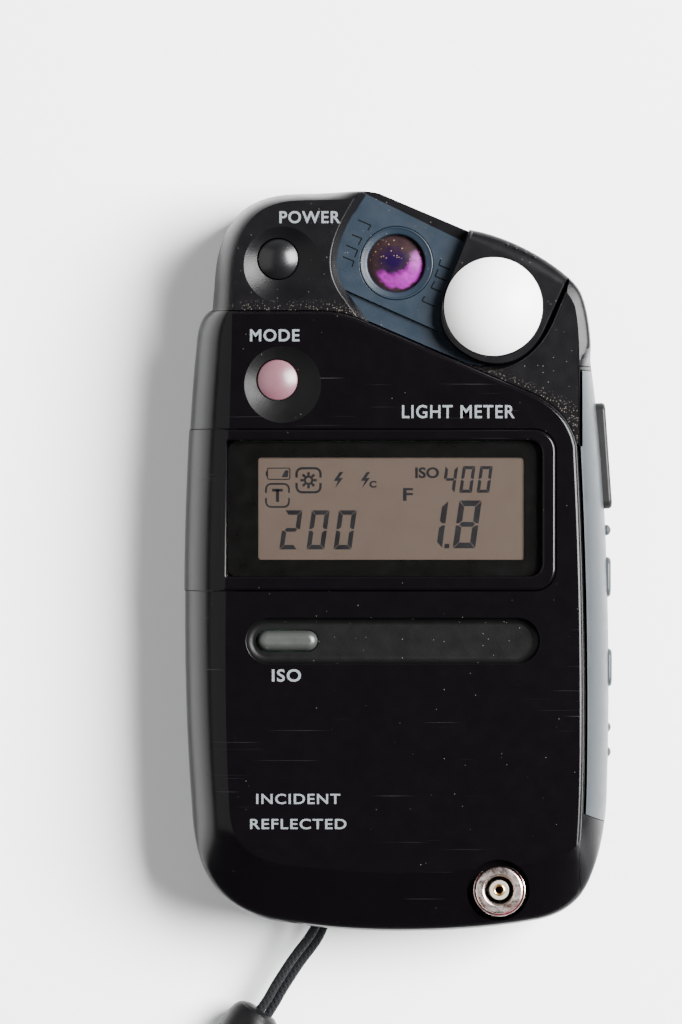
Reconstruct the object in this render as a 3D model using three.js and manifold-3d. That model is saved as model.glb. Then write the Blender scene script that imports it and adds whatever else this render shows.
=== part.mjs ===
// Handheld exposure meter in millimetres, lying on its back. +Z points out of the display face,
// +Y towards the sensor end and +X towards the measuring button. The origin is the middle of the
// outline, on the flat back.
import * as THREE from 'three';
import { ParametricGeometry } from 'three/addons/geometries/ParametricGeometry.js';
import { mergeVertices } from 'three/addons/utils/BufferGeometryUtils.js';
import Module from 'manifold-3d';

const wasm = await Module();
wasm.setup();

// Driving dimensions
const gap = 0.3;
const halfWidth = 31.6;
const halfLength = 55;
const wall = 2.2;
const skin = 1.2;
const backRound = 3.5;
const lowWallZ = 5;
const highWallZ = 9;
const seamZ = 9;
const faceZ = 20;
const headZ = 18.8;
const flankZ = 18;
const faceTurn = 75 * Math.PI / 180;
const channelAngle = 24 * Math.PI / 180;

// Fineness of the curved surfaces
const outlineSteps = 3;
const curveSegments = 4;
const roundSteps = 20;
const smallSteps = 12;
const mergeDistance = 1e-4;
const far = 70;

// Finishes
const satinBlack = { color: 0x141314, roughness: 0.5, metalness: 0 };
const glossBlack = { color: 0x100e10, roughness: 0.25, metalness: 0 };
const greyStrip = { color: 0x8f979b, roughness: 0.5, metalness: 0 };
const darkGrey = { color: 0x5f5e5a, roughness: 0.5, metalness: 0 };
const nickel = { color: 0xb5aba2, roughness: 0.35, metalness: 1 };
const gold = { color: 0xd0a860, roughness: 0.3, metalness: 1 };
const circuitGreen = { color: 0x1d5136, roughness: 0.6, metalness: 0 };
const cordBlack = { color: 0x17171b, roughness: 0.9, metalness: 0 };

const meter = new THREE.Group();

// ---- Solids ----

function solid(geometry) {
  const bare = geometry.clone();
  bare.deleteAttribute('normal');
  bare.deleteAttribute('uv');
  const merged = mergeVertices(bare, mergeDistance);
  const corners = merged.index.array;
  const triangles = [];
  for (let i = 0; i < corners.length; i += 3) {
    const [a, b, c] = [corners[i], corners[i + 1], corners[i + 2]];
    if (a !== b && b !== c && c !== a) {
      triangles.push(a, b, c);
    }
  }
  return new wasm.Manifold(new wasm.Mesh({
    numProp: 3,
    vertProperties: new Float32Array(merged.attributes.position.array),
    triVerts: new Uint32Array(triangles),
  }));
}

function geometryOf(body) {
  const mesh = body.getMesh();
  const geometry = new THREE.BufferGeometry();
  geometry.setAttribute('position', new THREE.BufferAttribute(mesh.vertProperties, 3));
  geometry.setIndex(new THREE.BufferAttribute(mesh.triVerts, 1));
  geometry.computeVertexNormals();
  return geometry;
}

function addPiece(name, body, finish, position = [0, 0, 0], turn = 0) {
  const mesh = new THREE.Mesh(geometryOf(body), new THREE.MeshStandardMaterial(finish));
  mesh.name = name;
  mesh.position.set(...position);
  mesh.rotation.z = turn;
  meter.add(mesh);
}

function joined(bodies) {
  return bodies.reduce((sum, body) => sum.add(body));
}

function without(body, cutters) {
  return cutters.reduce((rest, cutter) => rest.subtract(cutter), body);
}

function prism(shape, lowZ, highZ) {
  const options = { depth: highZ - lowZ, bevelEnabled: false, curveSegments };
  return solid(new THREE.ExtrudeGeometry(shape, options).translate(0, 0, lowZ));
}

function bevelledPrism(shape, lowZ, highZ, bevel) {
  const options = {
    depth: highZ - lowZ - 2 * bevel,
    bevelThickness: bevel,
    bevelSize: bevel,
    bevelOffset: -bevel,
    bevelSegments: 1,
    curveSegments,
  };
  return solid(new THREE.ExtrudeGeometry(shape, options).translate(0, 0, lowZ + bevel));
}

function block(low, high) {
  const size = high.map((value, i) => value - low[i]);
  const middle = high.map((value, i) => (value + low[i]) / 2);
  return solid(new THREE.BoxGeometry(...size).translate(...middle));
}

function disc(radius, lowZ, highZ, x = 0, y = 0, steps = roundSteps) {
  const geometry = new THREE.CylinderGeometry(radius, radius, highZ - lowZ, steps);
  return solid(geometry.rotateX(Math.PI / 2).translate(x, y, (lowZ + highZ) / 2));
}

// A rod along +X from a point.
function rod(radius, length, start, steps = smallSteps) {
  const geometry = new THREE.CylinderGeometry(radius, radius, length, steps);
  return solid(geometry.rotateZ(-Math.PI / 2).translate(start[0] + length / 2, start[1], start[2]));
}

// A body of revolution about +Z, from radius and height pairs that run up the outside.
function turned(profile, steps = roundSteps) {
  const points = profile.map(([radius, height]) => new THREE.Vector2(radius, height));
  return solid(new THREE.LatheGeometry(points, steps).rotateX(Math.PI / 2));
}

function ring(outer, inner, lowZ, highZ, steps = roundSteps) {
  return disc(outer, lowZ, highZ, 0, 0, steps).subtract(disc(inner, lowZ - 1, highZ + 1, 0, 0, steps));
}

function roundedRectangle(width, height, radius) {
  const shape = new THREE.Shape();
  const right = width / 2 - radius;
  const top = height / 2 - radius;
  shape.absarc(right, top, radius, 0, Math.PI / 2);
  shape.absarc(-right, top, radius, Math.PI / 2, Math.PI);
  shape.absarc(-right, -top, radius, Math.PI, 1.5 * Math.PI);
  shape.absarc(right, -top, radius, 1.5 * Math.PI, 2 * Math.PI);
  return shape;
}

// A slot shape with round ends, along X.
function capsule(width, height) {
  const shape = new THREE.Shape();
  const middle = (width - height) / 2;
  shape.absarc(middle, 0, height / 2, -Math.PI / 2, Math.PI / 2);
  shape.absarc(-middle, 0, height / 2, Math.PI / 2, 1.5 * Math.PI);
  return shape;
}

// A round cord along a smooth route.
function cordAlong(points, radius, sides, steps) {
  const section = new THREE.Shape();
  for (let side = 0; side < sides; side += 1) {
    const angle = 2 * Math.PI * side / sides;
    const corner = [radius * Math.cos(angle), radius * Math.sin(angle)];
    if (side === 0) {
      section.moveTo(...corner);
    } else {
      section.lineTo(...corner);
    }
  }
  const route = new THREE.CatmullRomCurve3(points.map((point) => new THREE.Vector3(...point)));
  return solid(new THREE.ExtrudeGeometry(section, { steps, extrudePath: route }));
}

// ---- The case form ----

// The case outline, counter-clockwise from the middle of the bottom edge. Each stretch lists its
// bend points and its end, where the case is widest and where its face begins.
const outlineStart = { wide: [0, -55], face: [0, -45.8] };
const outlineStretches = [
  { wide: [[12, -55], [21, -53.3]], face: [[11, -45.6], [20.3, -44.4]] },
  { wide: [[27, -52], [28.9, -46.8]], face: [[25.2, -43.7], [26.6, -41.5]] },
  { wide: [[31.3, -41], [31.4, -34]], face: [[27.3, -38], [27.6, -33]] },
  { wide: [[32, -16], [31.2, 4]], face: [[27.9, -16], [27.4, 4]] },
  { wide: [[30.6, 18], [28.9, 30]], face: [[27.2, 16], [26.9, 28]] },
  { wide: [[28.8, 36], [27.6, 39.2]], face: [[27, 34], [26.3, 37.6]] },
  { wide: [[26.6, 42.2], [22.5, 44]], face: [[25.6, 40], [21.9, 42.6]] },
  { wide: [[-2.5, 54.6]], face: [[-3.2, 53.2]] },
  { wide: [[-3.8, 55], [-6, 55]], face: [[-4.3, 53.6], [-6, 53.6]] },
  { wide: [[-15, 54.8]], face: [[-14.6, 53.4]] },
  { wide: [[-23.5, 54.6], [-26.8, 50], [-27.2, 41]], face: [[-21.5, 53.2], [-24.2, 49], [-24.3, 41]] },
  { wide: [[-27.5, 37.5]], face: [[-24.3, 37.5]] },
  { wide: [[-29.4, 36.8], [-29.8, 33]], face: [[-24.4, 36], [-24.4, 33]] },
  { wide: [[-31.7, 15], [-32.3, -15], [-30.6, -36]], face: [[-24.9, 15], [-26, -15], [-24.8, -36]] },
  { wide: [[-30.2, -46], [-27, -53], [-15, -53.9]], face: [[-24.6, -42], [-21.5, -44.6], [-13, -45]] },
  { wide: [[-8, -55], [0, -55]], face: [[-7, -45.8], [0, -45.8]] },
];

function tracedOutline(level) {
  const path = new THREE.Path();
  path.moveTo(...outlineStart[level]);
  for (const stretch of outlineStretches) {
    const points = stretch[level];
    if (points.length === 1) {
      path.lineTo(...points[0]);
    } else if (points.length === 2) {
      path.quadraticCurveTo(...points.flat());
    } else {
      path.bezierCurveTo(...points.flat());
    }
  }
  return path.getPoints(outlineSteps).slice(0, -1);
}

function drawnIn(points, distance) {
  const across = 1 - distance / halfWidth;
  const along = 1 - distance / halfLength;
  return points.map((point) => new THREE.Vector2(point.x * across, point.y * along));
}

function atHeight(points, height) {
  return points.map((point) => new THREE.Vector3(point.x, point.y, height));
}

// A closed skin over outlines stacked from low to high, with flat ends.
function loft(rows) {
  const count = rows[0].length;
  const hub = (row) => row.map((point) => new THREE.Vector3(0, 0, point.z));
  const closed = [hub(rows[0]), ...rows, hub(rows.at(-1))];
  const place = (u, v, target) => {
    const row = closed[Math.round(v * (closed.length - 1))];
    target.copy(row[Math.round(u * count) % count]);
  };
  return solid(new ParametricGeometry(place, count, closed.length - 1));
}

// The whole case up to a face height, or the hollow that is smaller than it by a wall.
function caseForm(topZ, thickness = 0) {
  const wide = drawnIn(tracedOutline('wide'), thickness);
  const face = drawnIn(tracedOutline('face'), thickness);
  const round = Math.max(backRound - thickness, 0.5);
  const backTurns = [90, 60, 30, 0].map((angle) => angle * Math.PI / 180);
  const faceTurns = [0, 0.25, 0.5, 0.75, 1].map((share) => share * faceTurn);
  const rows = backTurns.map((turn) => atHeight(
    drawnIn(wide, round * (1 - Math.cos(turn))),
    lowWallZ - (lowWallZ - thickness) * Math.sin(turn),
  ));
  for (const turn of faceTurns) {
    const reach = (1 - Math.cos(turn)) / (1 - Math.cos(faceTurn));
    const height = highWallZ + (topZ - thickness - highWallZ) * Math.sin(turn) / Math.sin(faceTurn);
    rows.push(atHeight(wide.map((point, i) => point.clone().lerp(face[i], reach)), height));
  }
  return loft(rows);
}

// ---- Regions of the case, seen from the front ----

const stepLeft = [-11, 37.1];
const stepStart = [-4.1, 35.3];
const stepEnd = [19.6, 25.1];
const rimTop = [26.5, 17.1];
const rimMiddle = [27.5, -28];
const rimLow = [26.9, -43];
const rimFoot = [27.4, -50];
const flankStart = 23;
const flankLeft = 26.9;
const flankTop = 28.9;

// Everything below the step line and left of the rim: the display cover's share.
function displayRegion(clear = 0, lowZ = -1) {
  const shape = new THREE.Shape();
  shape.moveTo(-far, stepLeft[1]);
  shape.lineTo(...stepLeft);
  shape.quadraticCurveTo(-7.6, 37, ...stepStart);
  shape.lineTo(...stepEnd);
  shape.quadraticCurveTo(25.4, 22.6, ...rimTop);
  shape.quadraticCurveTo(27.7, -5, ...rimMiddle);
  shape.quadraticCurveTo(27.4, -38, ...rimLow);
  shape.quadraticCurveTo(26.9, -46.5, ...rimFoot);
  shape.lineTo(rimFoot[0], -far);
  shape.lineTo(-far, -far);
  return prism(shape, lowZ, faceZ + far).translate(clear, clear, 0);
}

// The narrow flank right of the rim, below the head.
function flankRegion() {
  const whole = block([flankStart - 3, -far, -1], [far, flankTop, far]);
  const besideHead = block([0, rimTop[1], -2], [flankLeft, far, far + 1]);
  return without(whole, [displayRegion(gap, -2), besideHead]);
}

// ---- Places shared by several pieces ----

const powerButton = { x: -17.6, y: 44.8, top: 18.7, dish: { x: -17, y: 43.9, z: headZ } };
const modeButton = { x: -17.7, y: 26.9, top: 19.9, dish: { x: -16.9, y: 26.2, z: faceZ } };
const isoButton = { x: -16.2, y: -11.6, width: 8.9, height: 3, top: 19.8 };
const roundButtonRadius = 3;
const dishRadius = 5.6;
const dishDepth = 1.4;
const groove = { x: -0.6, width: 43.3, height: 6.8, floorZ: 18.8 };
const display = { x: -1.7, y: 7.8, width: 46.6, height: 20 };
const band = { right: 23.4, low: -4.2, high: 19.6, corner: 3.2, topZ: 20.2 };
const strip = { low: -37, high: 28.7, lowZ: 2.6 };
const measureButton = { y: 15.6, z: 8.6, length: 15.8, height: 6.2, outX: 31.6, tilt: 0.07 };
const sideKeys = [
  { name: 'up_key', switchName: 'up_switch', y: -2.3, z: 8.6, length: 6, height: 5, outX: 31.95 },
  { name: 'down_key', switchName: 'down_switch', y: -15.8, z: 8.6, length: 5.7, height: 5, outX: 32.1 },
];
const sync = { x: 15.1, y: -48.5, floorZ: 16.2, rimZ: 18.3 };
const syncDish = { radius: 4.6, left: 0.15 };
const syncStemRadius = 2.6;
const syncNutRadius = 3.6;
const dome = { x: 14.2, y: 37.75, radius: 7.3, baseZ: 18.5, topZ: 22.2 };
const reflected = { x: -0.1, y: 44.25, radius: 4.2 };
const panelTopZ = 16.3;
const carriageLowZ = 16.6;
const carriageTopZ = 18.3;
const battery = { x: -19.3, z: 9, radius: 7.25, low: -43.8, high: 6.7 };
const door = { left: -26.5, right: -10.5, top: 7.6, thickness: 1.4 };
const boardZ = 16.6;
const boardTopZ = 17.2;
const sensorBoardZ = 12.2;
const sensorBoardTopZ = 12.9;
const keyBoardX = 23.8;
const keyBoardThick = 0.8;
const screws = [
  { x: 21.6, y: -40 },
  { x: -8, y: -42.5 },
  { x: -11.5, y: 49.6 },
  { x: 23.2, y: 28 },
];
const screwBoreRadius = 1.15;
const screwHeadRadius = 1.75;
const screwShankRadius = 0.85;
const pinY = -52.5;
const pinZ = 5.6;

// ---- Case pieces ----

// The part of the head that is open to the sliding carriage.
function channelShape() {
  const shape = new THREE.Shape();
  shape.moveTo(-5.2, 57);
  shape.lineTo(-5.4, 54.6);
  shape.bezierCurveTo(-9.4, 48.6, -11.4, 43.6, -7.6, 39);
  shape.lineTo(-4, 34);
  shape.lineTo(9.3, 29);
  shape.bezierCurveTo(15, 27.2, 20, 29.4, 22.8, 35.1);
  shape.lineTo(26.4, 43.6);
  shape.lineTo(32, 57);
  return shape;
}

function dishCutter(dish) {
  const sphere = (dishRadius ** 2 + dishDepth ** 2) / (2 * dishDepth);
  const geometry = new THREE.SphereGeometry(sphere, roundSteps, roundSteps).rotateX(Math.PI / 2);
  return solid(geometry.translate(dish.x, dish.y, dish.z - dishDepth + sphere));
}

function screwTower(place, lowZ, highZ) {
  return disc(2.2, lowZ, highZ, place.x, place.y, smallSteps);
}

function screwBore(place, radius, lowZ, highZ) {
  return disc(radius, lowZ, highZ, place.x, place.y, smallSteps);
}

function frontCover() {
  const aboveSeam = block([-far, -far, seamZ + gap / 2], [far, far, far]);
  const outside = caseForm(faceZ).intersect(displayRegion()).intersect(aboveSeam);
  const hollow = caseForm(faceZ, wall);
  const lipZ = 15.5;
  const upperHollow = hollow.intersect(displayRegion(-1.6));
  const lowerHollow = hollow.intersect(block([-far, -far, -1], [far, far, lipZ]));
  const towers = screws.slice(0, 2).map((place) => screwTower(place, seamZ + gap, faceZ - 1));
  const syncBoss = disc(5.4, 12.5, faceZ, sync.x, sync.y).intersect(outside);
  const shell = joined([without(outside, [upperHollow, lowerHollow]), syncBoss, ...towers]);
  const bandCut = bandPrism(gap, -1).subtract(caseForm(faceZ, skin + gap));
  const grooveCut = prism(capsule(groove.width, groove.height), groove.floorZ, far);
  const isoHole = prism(capsule(isoButton.width + 2 * gap, isoButton.height + 2 * gap), 10, far);
  return without(shell, [
    bandCut,
    displayOpening(gap),
    dishCutter(modeButton.dish),
    disc(roundButtonRadius + gap, 10, far, modeButton.x, modeButton.y),
    grooveCut.translate(groove.x, isoButton.y, 0),
    isoHole.translate(isoButton.x, isoButton.y, 0),
    disc(syncDish.radius, sync.floorZ, far, sync.x - syncDish.left, sync.y),
    disc(syncStemRadius + gap, 10, far, sync.x, sync.y),
    disc(syncNutRadius + gap, 9, 12.4, sync.x, sync.y),
    ...screws.slice(0, 2).map((place) => screwBore(place, screwBoreRadius, seamZ - 1, 16)),
  ]);
}

function displayOpening(clear) {
  const shape = roundedRectangle(display.width + 2 * clear, display.height + 2 * clear, 1.5);
  return prism(shape, 10, far).translate(display.x, display.y, 0);
}

function bandPrism(clear, lowZ) {
  const shape = new THREE.Shape();
  const right = band.right + clear;
  const low = band.low - clear;
  const high = band.high + clear;
  shape.moveTo(-far, low);
  shape.lineTo(right - band.corner, low);
  shape.absarc(right - band.corner, low + band.corner, band.corner, -Math.PI / 2, 0);
  shape.absarc(right - band.corner, high - band.corner, band.corner, 0, Math.PI / 2);
  shape.lineTo(-far, high);
  return prism(shape, lowZ, far);
}

function displayBezel() {
  const outside = caseForm(band.topZ).intersect(bandPrism(0, seamZ + gap));
  return without(outside, [caseForm(faceZ, skin), displayOpening(0.05 + gap / 2)]);
}

function headCover() {
  const aboveSeam = block([-far, -far, seamZ + gap / 2], [far, far, far]);
  const aboveStep = block([-far, rimTop[1] + gap, -1], [far, far, far]);
  const outside = caseForm(headZ).intersect(aboveSeam).intersect(aboveStep);
  const besideFlank = block([flankLeft - gap, -far, -1], [far, flankTop + gap, far]);
  const hollow = caseForm(headZ, wall);
  const towers = screws.slice(2).map((place) => screwTower(place, seamZ + gap, headZ - 1.5));
  const shell = joined([outside.subtract(hollow), ...towers]);
  return without(shell, [
    displayRegion(gap),
    besideFlank,
    prism(channelShape(), panelTopZ - gap, far),
    dishCutter(powerButton.dish),
    disc(roundButtonRadius + gap, 10, far, powerButton.x, powerButton.y),
    ...screws.slice(2).map((place) => screwBore(place, screwBoreRadius, seamZ - 1, 15)),
  ]);
}

function sideHole(key, clear) {
  const shape = roundedRectangle(key.length + 2 * clear, key.height + 2 * clear, 1.5);
  const hole = prism(shape, 0, 12).rotate([90, 0, 90]);
  return hole.translate(key.outX - 8, key.y, key.z);
}

const sideHoleKeys = [measureButton, ...sideKeys];

function stripRegion(clear) {
  const whole = block(
    [flankStart, strip.low - clear, strip.lowZ - clear],
    [far, strip.high - 2 * gap + clear, far],
  );
  return whole.intersect(flankRegion().translate(gap - clear, clear, 0));
}

function rearCover() {
  const belowSeam = block([-far, -far, -1], [far, far, seamZ - gap / 2]);
  const share = belowSeam.add(flankRegion());
  const outside = caseForm(flankZ).intersect(share);
  const hollow = caseForm(flankZ, wall);
  const towers = screws.map((place) => screwTower(place, 0.5, seamZ - gap / 2));
  const partitionX = battery.x + battery.radius + gap;
  const partition = block([partitionX, battery.low, 1], [partitionX + 1, 8.5, 8.8]);
  const endWall = block([-28.5, 8.2, 1], [partitionX + 1, 9.2, 8.8]);
  const eyelet = block([-17, -far, 1], [-4.5, -47.8, seamZ - gap / 2]).intersect(outside);
  const shell = joined([outside.subtract(hollow), ...towers, partition, endWall, eyelet]);
  const doorRecess = block(
    [door.left - gap, -far, -1],
    [door.right + gap, door.top + gap, door.thickness + gap],
  );
  const batteryHatch = block(
    [battery.x - battery.radius - gap, battery.low - 1, -1],
    [battery.x + battery.radius + gap, battery.high + 0.4, wall + 1],
  );
  return without(shell, [
    stripRegion(gap).subtract(caseForm(flankZ, skin + gap)),
    ...sideHoleKeys.map((key) => sideHole(key, gap)),
    doorRecess,
    batteryHatch,
    block([-15.5, -far, 2.5], [-6, -49.4, seamZ - 0.6]),
    rod(1.2, 12, [-16.7, pinY, pinZ]),
    ...screws.map((place) => screwBore(place, screwBoreRadius, -1, seamZ + 1)),
    ...screws.map((place) => screwBore(place, screwHeadRadius + 0.25, -1, 1.9)),
  ]);
}

function sidePanel() {
  const outside = caseForm(flankZ + 0.2).intersect(stripRegion(0));
  const dots = [4.7, -24.7, -28.4].map((y) => {
    const geometry = new THREE.SphereGeometry(0.8, smallSteps, smallSteps / 2);
    return solid(geometry.translate(31.3, y, 9));
  });
  const skinOnly = outside.subtract(caseForm(flankZ, skin));
  return without(joined([skinOnly, ...dots]), [
    caseForm(flankZ, skin),
    ...sideHoleKeys.map((key) => sideHole(key, gap)),
  ]);
}

function batteryDoor() {
  const plate = block([door.left, -far, -1], [door.right, door.top, door.thickness]);
  const plain = caseForm(faceZ).intersect(plate);
  const grooves = [0, 1, 2, 3, 4, 5].map((index) => {
    const y = -34 - 1.9 * index;
    return block([-23, y - 0.45, -1], [-14, y + 0.45, 0.45]);
  });
  return without(plain, grooves);
}

// ---- Display ----

function displayPieces() {
  const centre = [display.x, display.y, 0];
  const window = prism(roundedRectangle(display.width, display.height, 1.5), 18.9, 20);
  addPiece('display_window', window, { color: 0x2a2827, roughness: 0.08, metalness: 0 }, centre);
  const maskHole = prism(roundedRectangle(39.4, 15.1, 0.2), 0, far).translate(0.9, 0.1, 0);
  const mask = prism(roundedRectangle(45.6, 19.2, 1), 18.62, 18.82).subtract(maskHole);
  addPiece('display_mask', mask, satinBlack, centre);
  const glass = block([-21.5, -9, 17.75], [21.5, 9, 18.5]);
  addPiece('lcd_glass', glass, { color: 0x8c7d73, roughness: 0.4, metalness: 0 }, centre);
  for (const [name, y] of [['upper_lcd_connector', 7.6], ['lower_lcd_connector', -8.6]]) {
    const connector = block([-20.5, y, boardTopZ + 0.05], [20.5, y + 1, 17.7]);
    addPiece(name, connector, { color: 0xb9a6a0, roughness: 0.7, metalness: 0 }, centre);
  }
}

// ---- Buttons ----

// A round button: domed cap with a skirt, and a stem that stops short of its switch by more than
// its travel.
function roundButton(name, place, stemLowZ, skirt, finish) {
  const edge = place.top - 1.1;
  const body = turned([
    [0, stemLowZ],
    [1.2, stemLowZ],
    [1.2, edge - skirt],
    [roundButtonRadius, edge - skirt],
    [roundButtonRadius, edge],
    [2.6, edge + 0.5],
    [1.8, edge + 0.9],
    [0.9, place.top - 0.04],
    [0, place.top],
  ]);
  addPiece(name, body, finish, [place.x, place.y, 0]);
}

function domeSwitch(name, position, boardTop) {
  const body = turned([[0, 0], [1.3, 0], [1.3, 0.25], [0.8, 0.5], [0, 0.6]], smallSteps);
  addPiece(name, body, nickel, [position.x, position.y, boardTop + 0.05]);
}

function sideButton(key, name, finish) {
  const capShape = roundedRectangle(key.length, key.height, 1.4);
  const cap = bevelledPrism(capShape, 0, 3.4, 0.5);
  const flange = prism(roundedRectangle(key.length - 1.4, key.height - 1.2, 0.8), -1.4, 0.2);
  const body = cap.add(flange).rotate([90, 0, 90]);
  addPiece(name, body, finish, [key.outX - 3.4, key.y, key.z], key.tilt ?? 0);
}

function controls() {
  roundButton('power_button', powerButton, sensorBoardTopZ + 1.4, 0.7, satinBlack);
  const mauve = { color: 0xb9969b, roughness: 0.45, metalness: 0 };
  roundButton('mode_button', modeButton, boardTopZ + 1.2, 0.3, mauve);
  domeSwitch('power_switch', powerButton, sensorBoardTopZ);
  domeSwitch('mode_switch', modeButton, boardTopZ);
  domeSwitch('iso_switch', isoButton, boardTopZ);
  const isoCap = bevelledPrism(capsule(isoButton.width, isoButton.height), 18.4, isoButton.top, 0.4);
  addPiece('iso_button', isoCap, darkGrey, [isoButton.x, isoButton.y, 0]);
  sideButton(measureButton, 'measuring_button', darkGrey);
  for (const key of sideKeys) {
    sideButton(key, key.name, greyStrip);
  }
  const switches = [{ ...measureButton, switchName: 'measuring_switch' }, ...sideKeys];
  for (const key of switches) {
    const body = turned([[0, 0], [1.6, 0], [1.6, 0.4], [0.9, 0.8], [0, 0.9]], smallSteps);
    const place = [keyBoardX + keyBoardThick + 0.05, key.y, key.z];
    addPiece(key.switchName, body.rotate([0, 90, 0]), nickel, place);
  }
}

// ---- Circuit boards ----

function boards() {
  const slab = block([-24, -43, boardZ], [far, far, boardTopZ]);
  const mainBoard = caseForm(faceZ, wall + 0.4).intersect(slab).intersect(displayRegion(-2.2));
  const towerHoles = screws.slice(0, 2).map((place) => screwBore(place, 2.6, 0, far));
  addPiece('main_board', without(mainBoard, towerHoles), circuitGreen);
  const outline = new THREE.Shape();
  outline.moveTo(-22, 39);
  outline.lineTo(-22, 47);
  outline.lineTo(-3, 47);
  outline.lineTo(14, 40);
  outline.lineTo(14, 36);
  outline.lineTo(-3, 39);
  addPiece('sensor_board', prism(outline, sensorBoardZ, sensorBoardTopZ), circuitGreen);
  const keyBoard = block([0, -20, 4], [keyBoardThick, 24, 14]);
  addPiece('key_board', keyBoard, circuitGreen, [keyBoardX, 0, 0]);
}

// ---- Sensor head ----

function lensPanel() {
  const inside = caseForm(headZ, wall + gap);
  const plate = prism(channelShape(), 15, panelTopZ).intersect(inside);
  const groove = block([-6, -4.2, 15.6], [40, 0, far]).rotate([0, 0, -channelAngle * 180 / Math.PI]);
  return without(plate, [
    displayRegion(2 * gap),
    groove.translate(-7.4, 40.2, 0),
    disc(5.6, 10, far, reflected.x, reflected.y),
    ...screws.slice(2).map((place) => screwBore(place, 2.5, 0, far)),
  ]);
}

function lensAssembly() {
  const place = [reflected.x, reflected.y, 0];
  const lens = turned([
    [0, 14.3],
    [3.6, 14.3],
    [3.6, 14.9],
    [reflected.radius, 14.9],
    [reflected.radius, 15.4],
    [3.2, 15.8],
    [1.7, 16.1],
    [0, 16.2],
  ]);
  addPiece('reflected_lens', lens, { color: 0x5a1e6c, roughness: 0.05, metalness: 0 }, place);
  addPiece('lens_ring', ring(5.3, reflected.radius + gap, 14.6, 16.4), { ...satinBlack, color: 0x46596c }, place);
  const cell = turned([[0, 0], [2.5, 0], [2.5, 0.3], [2.1, 0.3], [2.1, 1], [0, 1]], smallSteps);
  addPiece('photodiode', cell, nickel, [reflected.x, reflected.y, sensorBoardTopZ + 0.05]);
}

// The white diffusing dome, a cap with a spigot that drops into the carriage.
function lumisphere() {
  const height = dome.topZ - dome.baseZ;
  const sphere = (dome.radius ** 2 + height ** 2) / (2 * height);
  const capPoint = (radius, share, drop) => {
    const angle = share * Math.asin(radius / sphere);
    return [sphere * Math.sin(angle), dome.topZ - drop - sphere * (1 - Math.cos(angle))];
  };
  const shares = [1, 0.85, 0.7, 0.5, 0.3, 0.15];
  const outer = shares.map((share) => capPoint(dome.radius, share, 0));
  const inner = shares.toReversed().map((share) => capPoint(4.9, share, skin));
  return turned([
    [0, dome.topZ - skin],
    ...inner,
    [4.9, 17],
    [6, 17],
    [6, dome.baseZ],
    ...outer,
    [0, dome.topZ],
  ]);
}

function carriageShape() {
  const shape = new THREE.Shape();
  shape.moveTo(10.66, 49.2);
  shape.lineTo(6.9, 40);
  shape.bezierCurveTo(5.2, 35.5, 6.8, 31.6, 12, 29.6);
  shape.bezierCurveTo(16.5, 28, 20.3, 30.5, 22, 34.6);
  shape.lineTo(25.35, 42.1);
  shape.bezierCurveTo(22.3, 44.9, 16.3, 48.3, 10.7, 49.18);
  return shape;
}

function sliderCarriage() {
  const plate = bevelledPrism(carriageShape(), carriageLowZ, carriageTopZ, 0.3);
  const grips = [[16.2, 46.6], [17.5, 46], [18.9, 45.3], [20.3, 44.6]].map(([x, y]) => (
    disc(0.5, carriageLowZ + 0.3, carriageTopZ - 0.3, x, y, smallSteps)
  ));
  const foot = block([-3, -0.45, 15.9], [3, 0.45, carriageLowZ + 0.5]);
  const footTurned = foot.rotate([0, 0, -channelAngle * 180 / Math.PI]).translate(11.5, 30.95, 0);
  const body = joined([plate, ...grips, footTurned.intersect(prism(carriageShape(), 0, far))]);
  return body.subtract(disc(6.3, 0, far, dome.x, dome.y));
}

function sensorHead() {
  addPiece('lens_panel', lensPanel(), { color: 0x40566a, roughness: 0.45, metalness: 0 });
  lensAssembly();
  addPiece('slider_carriage', sliderCarriage(), satinBlack);
  addPiece('lumisphere', lumisphere(), { color: 0xf4f2ee, roughness: 0.6, metalness: 0 }, [dome.x, dome.y, 0]);
}

// ---- Sync terminal ----

function syncTerminal() {
  const place = [sync.x, sync.y, 0];
  const sleeve = joined([ring(3.5, 2.1, sync.floorZ + 0.9, sync.rimZ), ring(syncStemRadius, 2.1, 10.4, sync.rimZ)]);
  addPiece('sync_sleeve', sleeve, nickel, place);
  const gasket = ring(3.85, syncStemRadius + gap, sync.floorZ + 0.05, sync.floorZ + 0.85);
  addPiece('sync_gasket', gasket, { color: 0x9a1230, roughness: 0.5, metalness: 0 }, place);
  const insulator = ring(1.5, 0.9, 10.6, 17.6, smallSteps).add(ring(1.8, 0.9, 10.6, 11.2, smallSteps));
  addPiece('sync_insulator', insulator, { color: 0xe6dcc8, roughness: 0.5, metalness: 0 }, place);
  addPiece('sync_contact', ring(0.85, 0.5, 9.6, 17.7, smallSteps), gold, place);
  const nut = disc(syncNutRadius, 10.8, 12.2, 0, 0, 6).subtract(disc(syncStemRadius + gap, 10, 13));
  addPiece('sync_nut', nut, nickel, place);
}

// ---- Battery ----

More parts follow.
